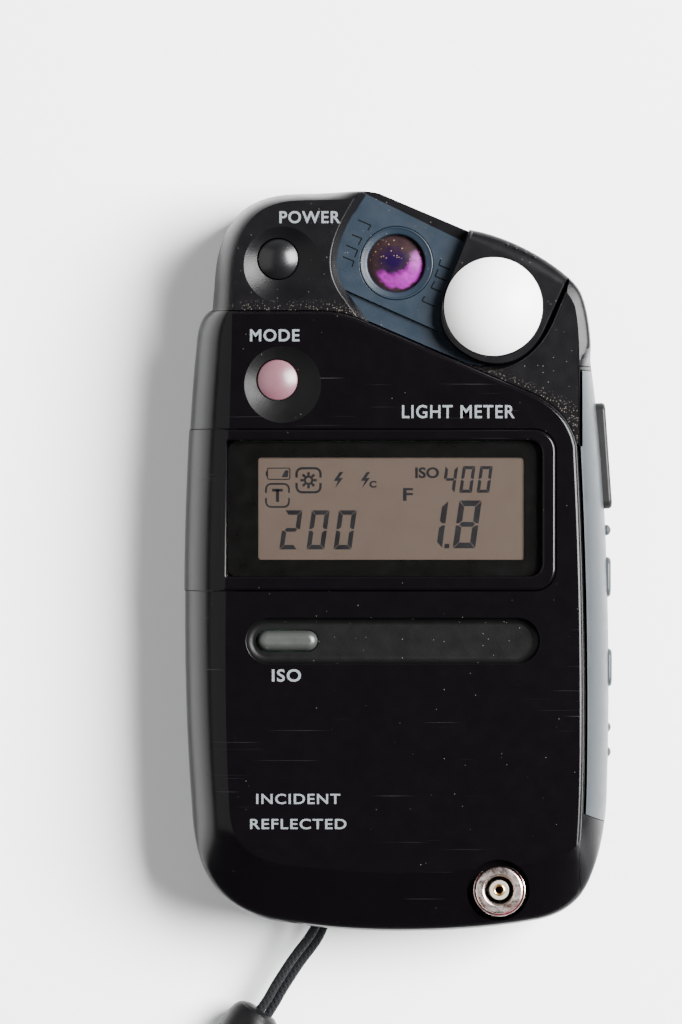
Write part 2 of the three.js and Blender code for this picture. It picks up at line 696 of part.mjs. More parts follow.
function batteryPieces() {
  const length = battery.high - battery.low;
  const cell = turned([
    [0, 0],
    [6.8, 0],
    [battery.radius, 0.5],
    [battery.radius, length - 1.6],
    [6.8, length - 1.1],
    [2.7, length - 1.1],
    [2.7, length],
    [0, length],
  ], roundSteps);
  const place = [battery.x, battery.low, battery.z];
  addPiece('aa_battery', cell.rotate([-90, 0, 0]), { color: 0x8a6a2c, roughness: 0.35, metalness: 0.6 }, place);
  const plate = block([-4, 0, -5], [4, 0.4, 5]);
  addPiece('battery_contact', plate, nickel, [battery.x, battery.high + 0.5, battery.z]);
  const turns = 2.5;
  const stepsPerTurn = 12;
  const coil = [];
  for (let step = 0; step <= turns * stepsPerTurn; step += 1) {
    const angle = 2 * Math.PI * step / stepsPerTurn;
    const share = step / (turns * stepsPerTurn);
    const radius = 3.4 - 1.2 * share;
    coil.push([radius * Math.cos(angle), 2.4 * share, radius * Math.sin(angle)]);
  }
  const spring = cordAlong(coil, 0.35, 6, turns * stepsPerTurn);
  addPiece('battery_spring', spring, nickel, [battery.x, battery.low - 3.1, battery.z]);
}

// ---- Fasteners ----

function caseScrew() {
  return turned([
    [0, 0.5],
    [screwHeadRadius, 0.5],
    [screwHeadRadius, 1.8],
    [screwShankRadius, 1.8],
    [screwShankRadius, 12.8],
    [0, 13.4],
  ], smallSteps);
}

// ---- Wrist strap ----

const thinCordRadius = 0.68;
const strapRadius = 1.75;
const beadCentre = [-22.8, -71.1, 4.1];
const beadAngle = 58 * Math.PI / 180;

// Up one side, round the eyelet pin and back, ending at the bead both times.
const loopRoute = [
  [-19.84, -66.47, 5.2],
  [-17.95, -63.24, 5.4],
  [-15.55, -59.54, 5.9],
  [-12.95, -56.04, 6.8],
  [-11.7, -53.6, 7.4],
  [-11.4, -51.8, 7.3],
  [-11.1, -50.7, 5.6],
  [-10.8, -51.8, 3.9],
  [-10.5, -53.6, 3.8],
  [-11.85, -56.78, 4.2],
  [-14.43, -60.28, 4.5],
  [-16.83, -63.98, 4.5],
  [-18.7, -67.17, 4.4],
];

function strapBead() {
  const body = turned([
    [0, -4.5],
    [2.6, -4.5],
    [3.7, -3.6],
    [4, -1.8],
    [4, 1.8],
    [3.7, 3.4],
    [2.8, 4.4],
    [0, 4.5],
  ], 16);
  return body.rotate([-90, 0, 0]);
}

const hank = { x: -24, left: -34.5, right: -10, top: -83, low: -150, height: 7.4 };
const tie = { high: -112, low: -118, thick: 0.8, gap: 0.3 };

// The strap's two strands between the bead and the hank, each a short tube.
const strandRoutes = {
  strap_strand_out: [
    [-26.4, -76, 3],
    [-28, -78, 2.4],
    [-30.6, -81.2, 1.9],
    [-32.2, -84.6, 1.8],
  ],
  strap_strand_back: [
    [-22.4, -76.8, 5.3],
    [-21.2, -78.6, 6],
    [-16.6, -81, 5.8],
    [-12.6, -84.6, 5.4],
  ],
};

function strapHank() {
  const width = hank.right - hank.left;
  const length = hank.top - hank.low;
  const middle = [(hank.left + hank.right) / 2, (hank.top + hank.low) / 2];
  const body = prism(capsule(length, width), 0, hank.height).rotate([0, 0, 90]).translate(...middle, 0);
  const waist = tie.thick + tie.gap;
  const around = block([hank.left - 1, tie.low - gap, -1], [hank.right + 1, tie.high + gap, hank.height + 1]);
  const core = block(
    [hank.left + waist, tie.low - 1, waist],
    [hank.right - waist, tie.high + 1, hank.height - waist],
  );
  return body.subtract(around.subtract(core));
}

function hankTie() {
  const outside = block([hank.left, tie.low, 0], [hank.right, tie.high, hank.height]);
  const inside = block(
    [hank.left + tie.thick, tie.low - 1, tie.thick],
    [hank.right - tie.thick, tie.high + 1, hank.height - tie.thick],
  );
  return outside.subtract(inside);
}

function wristStrap() {
  addPiece('strap_pin', rod(0.9, 11.4, [-16.4, pinY, pinZ]), nickel);
  addPiece('strap_loop', cordAlong(loopRoute, thinCordRadius, 8, 34), cordBlack);
  const bead = { color: 0x1c1c1d, roughness: 0.45, metalness: 0 };
  addPiece('strap_bead', strapBead(), bead, beadCentre, beadAngle - Math.PI / 2);
  for (const [name, route] of Object.entries(strandRoutes)) {
    addPiece(name, cordAlong(route, strapRadius, 8, 6), cordBlack);
  }
  addPiece('strap_hank', strapHank(), cordBlack);
  addPiece('hank_tie', hankTie(), satinBlack);
}

// ---- Assembly ----

addPiece('rear_cover', rearCover(), satinBlack);
addPiece('front_cover', frontCover(), glossBlack);
addPiece('head_cover', headCover(), satinBlack);
addPiece('display_bezel', displayBezel(), glossBlack);
addPiece('side_panel', sidePanel(), greyStrip);
addPiece('battery_door', batteryDoor(), satinBlack);
displayPieces();
controls();
boards();
sensorHead();
syncTerminal();
batteryPieces();
screws.forEach((place, index) => {
  addPiece(`case_screw_${index + 1}`, caseScrew(), nickel, [place.x, place.y, 0]);
});
wristStrap();

export default meter;
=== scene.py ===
import math
import random

import bpy
from mathutils import Matrix, Vector


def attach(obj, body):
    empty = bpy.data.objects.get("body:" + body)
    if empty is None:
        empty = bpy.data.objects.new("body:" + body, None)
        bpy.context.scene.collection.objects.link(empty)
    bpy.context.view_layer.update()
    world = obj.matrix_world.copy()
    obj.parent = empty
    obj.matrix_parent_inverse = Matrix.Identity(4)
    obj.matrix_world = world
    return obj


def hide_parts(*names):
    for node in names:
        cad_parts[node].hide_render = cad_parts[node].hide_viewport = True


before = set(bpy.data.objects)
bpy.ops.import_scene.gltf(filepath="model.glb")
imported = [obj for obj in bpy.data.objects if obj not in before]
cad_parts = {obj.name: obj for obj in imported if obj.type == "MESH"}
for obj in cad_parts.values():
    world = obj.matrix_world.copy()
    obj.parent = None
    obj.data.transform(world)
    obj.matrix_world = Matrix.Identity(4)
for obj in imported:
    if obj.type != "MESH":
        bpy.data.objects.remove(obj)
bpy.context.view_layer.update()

# The handheld exposure meter's looks. Lengths are in millimetres and become metres where a mesh or an
# object is made. +Z points out of the display face and +Y towards the sensor end.
MM = 0.001
scene = bpy.context.scene
rng = random.Random(7)

# The case: half its size, the round of its back edge, the ends of its upright wall, and its seam.
HALF_WIDTH = 31.6
HALF_LENGTH = 55.0
BACK_ROUND = 3.5
LOW_WALL_Z = 5.0
HIGH_WALL_Z = 9.0
SEAM_Z = 9.0
SEAM_HALF = 0.07
SEAM_LOW = SEAM_Z - SEAM_HALF
SEAM_HIGH = SEAM_Z + SEAM_HALF
# The heights of its surfaces, and how far its upper slope and its slanted channel turn.
FACE_Z = 20.0
HEAD_Z = 18.8
FLANK_Z = 18.0
CHANNEL_Z = 16.2
FACE_TURN = math.radians(75)
CHANNEL_TURN = math.radians(-24)
# Wall thicknesses, and the gap at a joint line.
WALL = 2.2
SKIN = 1.2
LINE = 0.12
# Where cutters start and end: below the back, between the walls, and beyond the case.
BELOW = -1
INSIDE = 10
FAR = 70.0
# How far a rounded edge or lip stands past the surface that it meets.
OVERLAP = 0.01
LIP_OVERLAP = 0.004
ROUND_STEPS = 9
CURVE_STEPS = 16
SMOOTH_ANGLE = math.radians(13)
ROUND_ANGLE = math.radians(60)
LENS_AT = (-0.1, 44.25)
LENS_RADIUS = 4.2


# ---- Camera ----

def new_object(name, data):
    piece = bpy.data.objects.new(name, data)
    scene.collection.objects.link(piece)
    return piece


def make_camera():
    data = bpy.data.cameras.new("camera")
    data.lens = 200
    data.sensor_width = 36
    data.clip_start = 0.01
    data.clip_end = 20
    data.dof.use_dof = False
    camera = new_object("camera", data)
    view_height = 152.4
    centre_x, centre_y, centre_z = -8.3, 7.4, 12
    distance = view_height / 2 * data.lens / (data.sensor_width / 2)
    camera.location = (centre_x * MM, centre_y * MM, (centre_z + distance) * MM)
    scene.camera = camera


make_camera()


# ---- Meshes ----

def mesh_from(name, points, faces):
    mesh = bpy.data.meshes.new(name)
    mesh.from_pydata([tuple(c * MM for c in point) for point in points], [], faces)
    mesh.update()
    return new_object(name, mesh)


def skin_faces(count, rows, ring=False, start=0):
    """Faces over rows of points, with flat ends, or with the last row joined to the first in a ring."""
    faces = []
    for j in range(rows if ring else rows - 1):
        low, high = start + j * count, start + (j + 1) % rows * count
        for i in range(count):
            after = (i + 1) % count
            faces.append((low + i, low + after, high + after, high + i))
    if not ring:
        faces.append(tuple(reversed(range(start, start + count))))
        faces.append(tuple(range(start + (rows - 1) * count, start + rows * count)))
    return faces


def loft(name, rows, ring=False):
    """A skin over closed outlines of equal count, stacked from low to high."""
    points = [point for row in rows for point in row]
    return mesh_from(name, points, skin_faces(len(rows[0]), len(rows), ring))


def at_height(outline, z):
    return [(x, y, z) for x, y in outline]


def offset(outline, distance):
    """The closed counter-clockwise outline moved in by a distance, or out by a negative one."""
    moved = []
    count = len(outline)
    for i in range(count):
        before, here, after = outline[i - 1], outline[i], outline[(i + 1) % count]
        ax, ay = here[0] - before[0], here[1] - before[1]
        bx, by = after[0] - here[0], after[1] - here[1]
        la, lb = math.hypot(ax, ay) or 1, math.hypot(bx, by) or 1
        nx, ny = -ay / la - by / lb, ax / la + bx / lb
        size = math.hypot(nx, ny) or 1
        nx, ny = nx / size, ny / size
        stretch = 1 / max(0.5, -ay / la * nx + ax / la * ny)
        moved.append((here[0] + nx * distance * stretch, here[1] + ny * distance * stretch))
    return moved


def quarter_round(steps=ROUND_STEPS):
    """Pairs along a quarter circle: how far it has gone across, and how far it still has to rise."""
    turns = [math.pi / 2 * k / steps for k in range(steps + 1)]
    return [(1 - math.cos(turn), 1 - math.sin(turn)) for turn in turns]


def foot_rows(outline, low, radius, steps=ROUND_STEPS):
    """The rows of a rounded lower edge, or the one row of a sharp one."""
    if not radius:
        return [at_height(outline, low)]
    return [
        at_height(offset(outline, radius * left), low + radius * across)
        for across, left in quarter_round(steps)
    ]


def rounded_rows(outline, low, high, top_round=0.0, low_round=0.0, steps=ROUND_STEPS):
    """Rows of a prism whose top and bottom edges may be rounded."""
    rows = foot_rows(outline, low, low_round, steps)
    if not top_round:
        return rows + [at_height(outline, high)]
    for across, left in quarter_round(steps):
        rows.append(at_height(offset(outline, top_round * across), high - top_round * left))
    return rows


def prism(name, outline, low, high, top_round=0.0, low_round=0.0, steps=ROUND_STEPS):
    return loft(name, rounded_rows(outline, low, high, top_round, low_round, steps))


def flared_cutter(outline, floor, face, floor_round=0.0, lip=0.2, lean=0.0):
    """A cutter whose wall flares out to the face in a rounded lip. lean draws its foot in."""
    rows = foot_rows(offset(outline, lean), floor, floor_round)
    for across, left in quarter_round():
        rows.append(at_height(offset(outline, -lip * across), face - lip * left + LIP_OVERLAP))
    rows.append(at_height(offset(outline, -lip), face + 30))
    return loft("cutter", rows)


def flip_cutter(outline, depth, lip):
    """A cutter into the back, from z = 0 up to a depth, with a rounded lip."""
    rows = [at_height(offset(outline, -lip), -5)]
    for across, left in quarter_round(8):
        rows.append(at_height(offset(outline, -lip * left), lip * across - LIP_OVERLAP))
    rows.append(at_height(outline, depth))
    return loft("cutter", rows)


def lathe(name, profile, centre=(0, 0), steps=64):
    """A body of revolution about Z, from radius and height pairs that run up the outside from the axis.

    A profile that stays off the axis makes a ring.
    """
    rows = [at_height(circle(radius, centre, steps), z) for radius, z in profile if radius]
    return loft(name, rows, ring=len(rows) == len(profile))


def arc_profile(radius, base, top, steps=10):
    """Points of a spherical cap from its rim at base up to its crown."""
    height = top - base
    sphere = (radius ** 2 + height ** 2) / (2 * height)
    widest = math.asin(radius / sphere)
    turns = [widest * (1 - k / steps) for k in range(steps)]
    return [(sphere * math.sin(t), top - sphere * (1 - math.cos(t))) for t in turns]


def carve(target, tool, operation="DIFFERENCE"):
    """Joins, cuts or intersects two closed meshes, and keeps the result in the target."""
    boolean = target.modifiers.new("carve", "BOOLEAN")
    boolean.operation = operation
    boolean.solver = "MANIFOLD"
    boolean.object = tool
    bpy.context.view_layer.update()
    graph = bpy.context.evaluated_depsgraph_get()
    result = bpy.data.meshes.new_from_object(target.evaluated_get(graph))
    target.modifiers.remove(boolean)
    old = target.data
    target.data = result
    bpy.data.meshes.remove(old)
    bpy.data.objects.remove(tool)
    return target


def cut(target, outline, low=INSIDE, high=FAR):
    """Cuts an upright hole of the outline's shape."""
    return carve(target, prism("cut", outline, low, high))


def place(piece, matrix):
    piece.data.transform(matrix)
    return piece


def shift(x=0.0, y=0.0, z=0.0):
    return Matrix.Translation((x * MM, y * MM, z * MM))


def spin(angle, axis="Z"):
    return Matrix.Rotation(angle, 4, axis)


# Turns a piece made along Z so that its Z runs along +X and its X along +Y.
SIDEWAYS = Matrix(((0, 0, 1, 0), (1, 0, 0, 0), (0, 1, 0, 0), (0, 0, 0, 1)))


def settle(piece, body, material, replaced=(), soft_edges=True, angle=SMOOTH_ANGLE):
    """Smooths a finished piece, gives it its finish and its body, and hides what it stands for."""
    mesh = piece.data
    mesh.materials.clear()
    mesh.materials.append(material)
    mesh.polygons.foreach_set("material_index", [0] * len(mesh.polygons))
    mesh.shade_smooth()
    mesh.set_sharp_from_angle(angle=angle)
    if soft_edges:
        weighted = piece.modifiers.new("weighted_normals", "WEIGHTED_NORMAL")
        weighted.keep_sharp = True
        weighted.weight = 80
    if replaced:
        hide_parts(*replaced)
    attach(piece, body)
    return piece


def refinish(piece, material, chosen):
    """Gives the faces whose middle passes the test another finish. The test gets millimetres."""
    mesh = piece.data
    mesh.materials.append(material)
    index = len(mesh.materials) - 1
    for face in mesh.polygons:
        if chosen(face.center / MM):
            face.material_index = index


# ---- Outlines ----

def bezier(points, steps=CURVE_STEPS):
    """Points along a line, a quadratic or a cubic Bezier stretch, without its start."""
    found = []
    for k in range(1, steps + 1):
        t = k / steps
        level = [tuple(p) for p in points]
        while len(level) > 1:
            level = [
                (a[0] + (b[0] - a[0]) * t, a[1] + (b[1] - a[1]) * t)
                for a, b in zip(level, level[1:])
            ]
        found.append(level[0])
    return found


# Counter-clockwise from the middle of the bottom edge: bend points and end of each stretch, where the
# case is widest and where its face begins.
OUTLINE_START = ((0, -55), (0, -45.8))
OUTLINE_STRETCHES = (
    (((12, -55), (21, -53.3)), ((11, -45.6), (20.3, -44.4))),
    (((27, -52), (28.9, -46.8)), ((25.2, -43.7), (26.6, -41.5))),
    (((31.3, -41), (31.4, -34)), ((27.3, -38), (27.6, -33))),
    (((32, -16), (31.2, 4)), ((27.9, -16), (27.4, 4))),
    (((30.6, 18), (28.9, 30)), ((27.2, 16), (26.9, 28))),
    (((28.8, 36), (27.6, 39.2)), ((27, 34), (26.3, 37.6))),
    (((26.6, 42.2), (22.5, 44)), ((25.6, 40), (21.9, 42.6))),
    (((-2.5, 54.6),), ((-3.2, 53.2),)),
    (((-3.8, 55), (-6, 55)), ((-4.3, 53.6), (-6, 53.6))),
    (((-15, 54.8),), ((-14.6, 53.4),)),
    (((-23.5, 54.6), (-26.8, 50), (-27.2, 41)), ((-21.5, 53.2), (-24.2, 49), (-24.3, 41))),
    (((-27.5, 37.5),), ((-24.3, 37.5),)),
    (((-29.4, 36.8), (-29.8, 33)), ((-24.4, 36), (-24.4, 33))),
    (((-31.7, 15), (-32.3, -15), (-30.6, -36)), ((-24.9, 15), (-26.0, -15), (-24.8, -36))),
    (((-30.2, -46), (-27, -53), (-15, -53.9)), ((-24.6, -42), (-21.5, -44.6), (-13, -45))),
    (((-8, -55), (0, -55)), ((-7, -45.8), (0, -45.8))),
)


def joined_stretches(start, stretches):
    """An open line through curved stretches, each of which starts where the one before it ends."""
    line = []
    for stretch in stretches:
        line += bezier((start,) + stretch)
        start = stretch[-1]
    return line


def traced(level):
    return joined_stretches(OUTLINE_START[level], [stretch[level] for stretch in OUTLINE_STRETCHES])


def drawn_in(outline, distance):
    across = 1 - distance / HALF_WIDTH
    along = 1 - distance / HALF_LENGTH
    return [(x * across, y * along) for x, y in outline]


def smooth_step(value, low, high):
    share = min(max((value - low) / (high - low), 0), 1)
    return share * share * (3 - 2 * share)


def slope_height(reach, foot):
    """Height share of an edge that rolls up tightly and then runs as a flat slope to the face."""
    if reach <= 0:
        return 0.0
    roll_reach, roll_height, blend = 0.12, 1.25, 4
    roll = roll_height * math.sqrt(reach / roll_reach)
    slope = foot + (1 - foot) * reach
    return (roll ** -blend + slope ** -blend) ** (-1 / blend)


# Where the flat slopes' roll ends at the bottom and at the top end, as a share of the height.
LOW_FOOT = 0.55
TOP_FOOT = 0.93


def rise(point, turn, reach):
    """Height share of the case's upper slope: an arc, but a flat slope at both ends of the case."""
    arc_share = math.sin(turn) / math.sin(FACE_TURN)
    low_end = smooth_step(-point[1], 38, 46)
    top_end = smooth_step(point[1], 29.5, 32.5) * smooth_step(point[0], -12, -5)
    low_share = slope_height(reach, LOW_FOOT) / slope_height(1, LOW_FOOT)
    top_share = slope_height(reach, TOP_FOOT) / slope_height(1, TOP_FOOT)
    return arc_share + low_end * (low_share - arc_share) + top_end * (top_share - arc_share)


def case_form(top, thickness=0.0, steps=18):
    """The whole case up to a face height, or the hollow smaller than it by a wall."""
    plain = traced(0)
    wide = drawn_in(traced(0), thickness)
    face = drawn_in(traced(1), thickness)
    edge = max(BACK_ROUND - thickness, 0.5)
    rows = []
    for k in range(steps // 2 + 1):
        turn = math.pi / 2 * (1 - k / (steps // 2))
        z = LOW_WALL_Z - (LOW_WALL_Z - max(thickness, 0)) * math.sin(turn)
        rows.append(at_height(drawn_in(wide, edge * (1 - math.cos(turn))), z))
    for k in range(steps + 1):
        turn = FACE_TURN * k / steps
        reach = (1 - math.cos(turn)) / (1 - math.cos(FACE_TURN))
        row = [
            (a[0] + (b[0] - a[0]) * reach, a[1] + (b[1] - a[1]) * reach,
             HIGH_WALL_Z + (top - thickness - HIGH_WALL_Z) * rise(p, turn, reach))
            for a, b, p in zip(wide, face, plain)
        ]
        rows.append(row)
    return loft("case_form", rows)


def arc(centre, radius, start, sweep, steps):
    turns = [start + sweep * k / steps for k in range(steps + 1)]
    return [(centre[0] + radius * math.cos(t), centre[1] + radius * math.sin(t)) for t in turns]


def rounded_rectangle(width, height, radius, steps=8, centre=(0, 0)):
    outline = []
    for quarter in range(4):
        cx = (width / 2 - radius) * (1 if quarter in (0, 3) else -1)
        cy = (height / 2 - radius) * (1 if quarter in (0, 1) else -1)
        corner = (centre[0] + cx, centre[1] + cy)
        outline += arc(corner, radius, math.pi / 2 * quarter, math.pi / 2, steps)
    return outline


def capsule(width, height, centre=(0, 0)):
    reach = (width - height) / 2
    right = arc((centre[0] + reach, centre[1]), height / 2, -math.pi / 2, math.pi, 24)
    left = arc((centre[0] - reach, centre[1]), height / 2, math.pi / 2, math.pi, 24)
    return right + left


def frame_outline(left, low, right, high, left_round, right_round):
    """A rectangle whose left and right corners have their own radii."""
    corners = (
        (right - right_round, high - right_round, right_round),
        (left + left_round, high - left_round, left_round),
        (left + left_round, low + left_round, left_round),
        (right - right_round, low + right_round, right_round),
    )
    outline = []
    for quarter, (x, y, radius) in enumerate(corners):
        outline += arc((x, y), radius, math.pi / 2 * quarter, math.pi / 2, 8)
    return outline


def circle(radius, centre, steps=64):
    turns = [2 * math.pi * k / steps for k in range(steps)]
    return [(centre[0] + radius * math.cos(t), centre[1] + radius * math.sin(t)) for t in turns]


def box_outline(left, low, right, high):
    return [(left, low), (right, low), (right, high), (left, high)]


# The step line below the head and the rim on the right, from left to right and down.
STEP_LEFT = (-11, 37.1)
STEP_STRETCHES = (
    ((-7.6, 37), (-4.1, 35.3)),
    ((19.6, 25.1),),
    ((25.4, 22.6), (26.5, 17.1)),
    ((27.7, -5), (27.5, -28)),
    ((27.4, -38), (26.9, -43)),
    ((26.9, -46.5), (27.4, -50)),
)
RIM_TOP = (26.5, 17.1)
RIM_FOOT = (27.4, -50)
FLANK_LEFT = 26.9
FLANK_TOP = 28.9


def display_outline(clear=0.0):
    """The raised face left of the rim and below the step, widened by clear."""
    line = [(-FAR, STEP_LEFT[1]), STEP_LEFT] + joined_stretches(STEP_LEFT, STEP_STRETCHES)
    line += [(RIM_FOOT[0], -FAR), (-FAR, -FAR)]
    outline = list(reversed(line))
    return offset(outline, -clear) if clear else outline


def flank_cutter(clear):
    """What lies right of the rim, below the head."""
    low, high = -5.0, FAR + 1
    whole = prism("flank", box_outline(20, -FAR, FAR, FLANK_TOP + clear), low, FAR)
    cut(whole, display_outline(LINE - clear), low - 1, high)
    return cut(whole, box_outline(0, RIM_TOP[1], FLANK_LEFT - clear, FAR), low - 1, high)


# ---- Materials ----

DUST_TINT = (0.16, 0.155, 0.15, 1)
LEDGE_TINT = (0.16, 0.14, 0.115, 1)
SCUFF_TINT = (0.10, 0.095, 0.09, 1)
LENS_DUST_TINT = (0.20, 0.14, 0.07, 1)


class Nodes:
    """Short calls for building one material's node tree in object space."""

    def __init__(self, name):
        self.material = bpy.data.materials.new(name)
        self.material.use_nodes = True
        self.tree = self.material.node_tree
        self.shader = self.tree.nodes["Principled BSDF"]
        self.place = self.tree.nodes.new("ShaderNodeTexCoord").outputs["Object"]

    def node(self, kind, links=(), **settings):
        made = self.tree.nodes.new(kind)
        for key, value in settings.items():
            setattr(made, key, value)
        for socket, value in dict(links).items():
            self.put(made.inputs[socket], value)
        return made

    def put(self, socket, value):
        if isinstance(value, bpy.types.NodeSocket):
            self.tree.links.new(value, socket)
        else:
            socket.default_value = value

    def surface(self, **sockets):
        """Sets or links the shader's inputs. An underscore stands for a space in an input's name."""
        for name, value in sockets.items():
            self.put(self.shader.inputs[name.replace("_", " ")], value)

    def stretched(self, scale, turn=0.0):
        mapping = self.node("ShaderNodeMapping", {"Vector": self.place})
        mapping.inputs["Scale"].default_value = scale
        mapping.inputs["Rotation"].default_value = (0, 0, turn)
        return mapping.outputs["Vector"]

    def noise(self, scale, detail=3.0, vector=None):
        links = {"Vector": vector or self.place, "Scale": scale, "Detail": detail}
        return self.node("ShaderNodeTexNoise", links).outputs["Fac"]

    def between(self, value, low, high, to_low=0.0, to_high=1.0):
        links = {"Value": value, "From Min": low, "From Max": high, "To Min": to_low, "To Max": to_high}
        return self.node("ShaderNodeMapRange", links).outputs["Result"]

    def math(self, operation, a, b=0.0):
        made = self.node("ShaderNodeMath", operation=operation)
        self.put(made.inputs[0], a)
        self.put(made.inputs[1], b)
        return made.outputs[0]

    def mix(self, share, a, b):
        made = self.node("ShaderNodeMix", data_type="RGBA")
        self.put(made.inputs[0], share)
        self.put(made.inputs[6], a)
        self.put(made.inputs[7], b)
        return made.outputs[2]

    def axes(self):
        return self.node("ShaderNodeSeparateXYZ", {"Vector": self.place}).outputs

    def dust(self, scale, share, size=0.22):
        """Scattered specks: the middle of some cells of a Voronoi pattern."""
        cells = self.node("ShaderNodeTexVoronoi", {"Vector": self.place, "Scale": scale})
        near = self.between(cells.outputs["Distance"], size, size * 0.5)
        chosen = self.node("ShaderNodeSeparateColor", {"Color": cells.outputs["Color"]})
        picked = self.between(chosen.outputs["Red"], 1 - share, 1 - share + 0.01)
        return self.math("MULTIPLY", near, picked)

    def step_dust(self):
        """Dust caught along the upper side of the step below the head. Places are in metres."""
        x, y = self.axes()[:2]
        step_slope, step_height, step_top = -0.4304, 0.03354, 0.0371
        slope = self.math("ADD", self.math("MULTIPLY", x, step_slope), step_height)
        above = self.math("SUBTRACT", y, self.math("MINIMUM", slope, step_top))
        near = self.between(above, 0.0018, 0.0002)
        return self.math("MULTIPLY", near, self.dust(3600, 0.55, 0.4))

    def scratches(self, turn, threshold=0.70):
        lines = self.noise(90, 2.0, self.stretched((0.4, 40, 1), turn))
        patches = self.between(self.noise(60, 2.0), 0.5, 0.62)
        return self.math("MULTIPLY", self.between(lines, threshold, threshold + 0.06), patches)

    def soiled(self, base, rough, mask, cover, color, dullness, joining="MAXIMUM"):
        """The base colour and roughness with dirt on them where the mask is 1."""
        base = self.mix(self.math("MULTIPLY", mask, cover), base, color)
        return base, self.math(joining, rough, self.math("MULTIPLY", mask, dullness))

    def bump(self, height, distance):
        made = self.node("ShaderNodeBump", {"Height": height, "Distance": distance, "Strength": 1.0})
        self.surface(Normal=made.outputs["Normal"])


def tint(color, factor=1.0):
    return tuple(min(1.0, c * factor) for c in color) + (1.0,)


def plastic(name, color, roughness, grain=0.00001, grain_scale=2600, dust=0.0, scuffs=False, ledge=False,
            variation=0.15, **sockets):
    """Moulded plastic: spark-eroded grain, slight mottling, and optional dust and hairline scratches."""
    n = Nodes(name)
    base = n.mix(n.noise(140, 4.0), tint(color, 1 - variation), tint(color, 1 + variation))
    rough = n.between(n.noise(420, 4.0), 0.3, 0.7, roughness * 0.88, min(1, roughness * 1.12))
    if scuffs:
        marks = n.math("MAXIMUM", n.scratches(0.5), n.scratches(-0.9, 0.72))
        base, rough = n.soiled(base, rough, marks, 0.25, SCUFF_TINT, 0.12, "ADD")
    if dust:
        specks = n.math("MAXIMUM", n.dust(2600, dust), n.dust(1300, dust * 0.35, 0.12))
        base, rough = n.soiled(base, rough, specks, 0.5, DUST_TINT, 0.8)
    if ledge:
        base, rough = n.soiled(base, rough, n.step_dust(), 0.4, LEDGE_TINT, 0.9)
    n.surface(Base_Color=base, Roughness=rough, **sockets)
    n.bump(n.noise(grain_scale, 3.0), grain)
    return n.material


def metal(name, color, roughness, tarnish=(0.4, 0.3, 0.25)):
    n = Nodes(name)
    stain = n.between(n.noise(700, 5.0), 0.42, 0.7)
    rough = n.between(n.noise(1500, 3.0), 0.3, 0.7, roughness * 0.7, roughness * 1.3)
    n.surface(Base_Color=n.mix(stain, tint(color), tint(tarnish)), Roughness=rough, Metallic=1.0)
    n.bump(n.noise(1800, 2.0, n.stretched((1, 1, 30))), 0.000008)
    return n.material


def woven(name, color, pitch):
    """Braided cord, with painted shade in the grooves between strands and a painted highlight on their
    crests. The mesh's UV map runs once round the cord and along it in millimetres.
    """
    n = Nodes(name)
    uv = n.node("ShaderNodeUVMap")
    parts = n.node("ShaderNodeSeparateXYZ", {"Vector": uv.outputs["UV"]})
    around = n.math("MULTIPLY", parts.outputs["X"], 8 * math.pi)
    along = n.math("MULTIPLY", parts.outputs["Y"], 2 * math.pi / pitch)
    rising = n.math("SINE", n.math("ADD", around, along))
    falling = n.math("SINE", n.math("SUBTRACT", around, along))
    strands = n.math("MAXIMUM", rising, falling)
    fibre = n.noise(6000, 4.0)
    # Painted shade and highlight: each strand is lighter on its crest and darker in the grooves between
    # strands.
    painted_strand_shade = n.mix(n.between(strands, -0.2, 1.0), tint(color, 0.45), tint(color, 1.35))
    base = n.mix(n.math("MULTIPLY", fibre, 0.4), painted_strand_shade, tint(color, 2.2))
    n.surface(Base_Color=base, Roughness=0.85, Sheen_Weight=0.04, Specular_IOR_Level=0.2)
    n.bump(n.math("ADD", strands, n.math("MULTIPLY", fibre, 0.5)), 0.00006)
    return n.material


def circuit(name):
    n = Nodes(name)
    tracks = n.between(n.noise(500, 0.0, n.stretched((1, 6, 1))), 0.52, 0.54)
    n.surface(Base_Color=n.mix(tracks, (0.006, 0.030, 0.015, 1), (0.014, 0.055, 0.026, 1)), Roughness=0.4)
    n.bump(tracks, 0.00003)
    return n.material


def clear_plastic(name, color, alpha, roughness):
    n = Nodes(name)
    rough = n.between(n.noise(300, 3.0), 0.3, 0.7, roughness, roughness * 1.8)
    n.surface(Base_Color=tint(color), Roughness=rough, Alpha=alpha)
    n.material.surface_render_method = "BLENDED"
    return n.material


def painted_reflection_crescent(n, x, y, cloud, away):
    """Where the painted magenta reflection of a light lies: a crescent low on the right, broken by the cloud.
    """
    inside = n.between(away(0.08, -0.05), 0.90, 0.80)
    outside = n.between(away(-0.10, 0.22), 0.52, 0.66)
    low = n.between(n.math("SUBTRACT", y, n.math("MULTIPLY", x, 0.55)), 0.15, -0.15)
    crescent = n.math("MULTIPLY", n.math("MULTIPLY", inside, outside), low)
    return n.math("MULTIPLY", crescent, n.between(cloud, 0.2, 0.6, 0.55, 1.0))


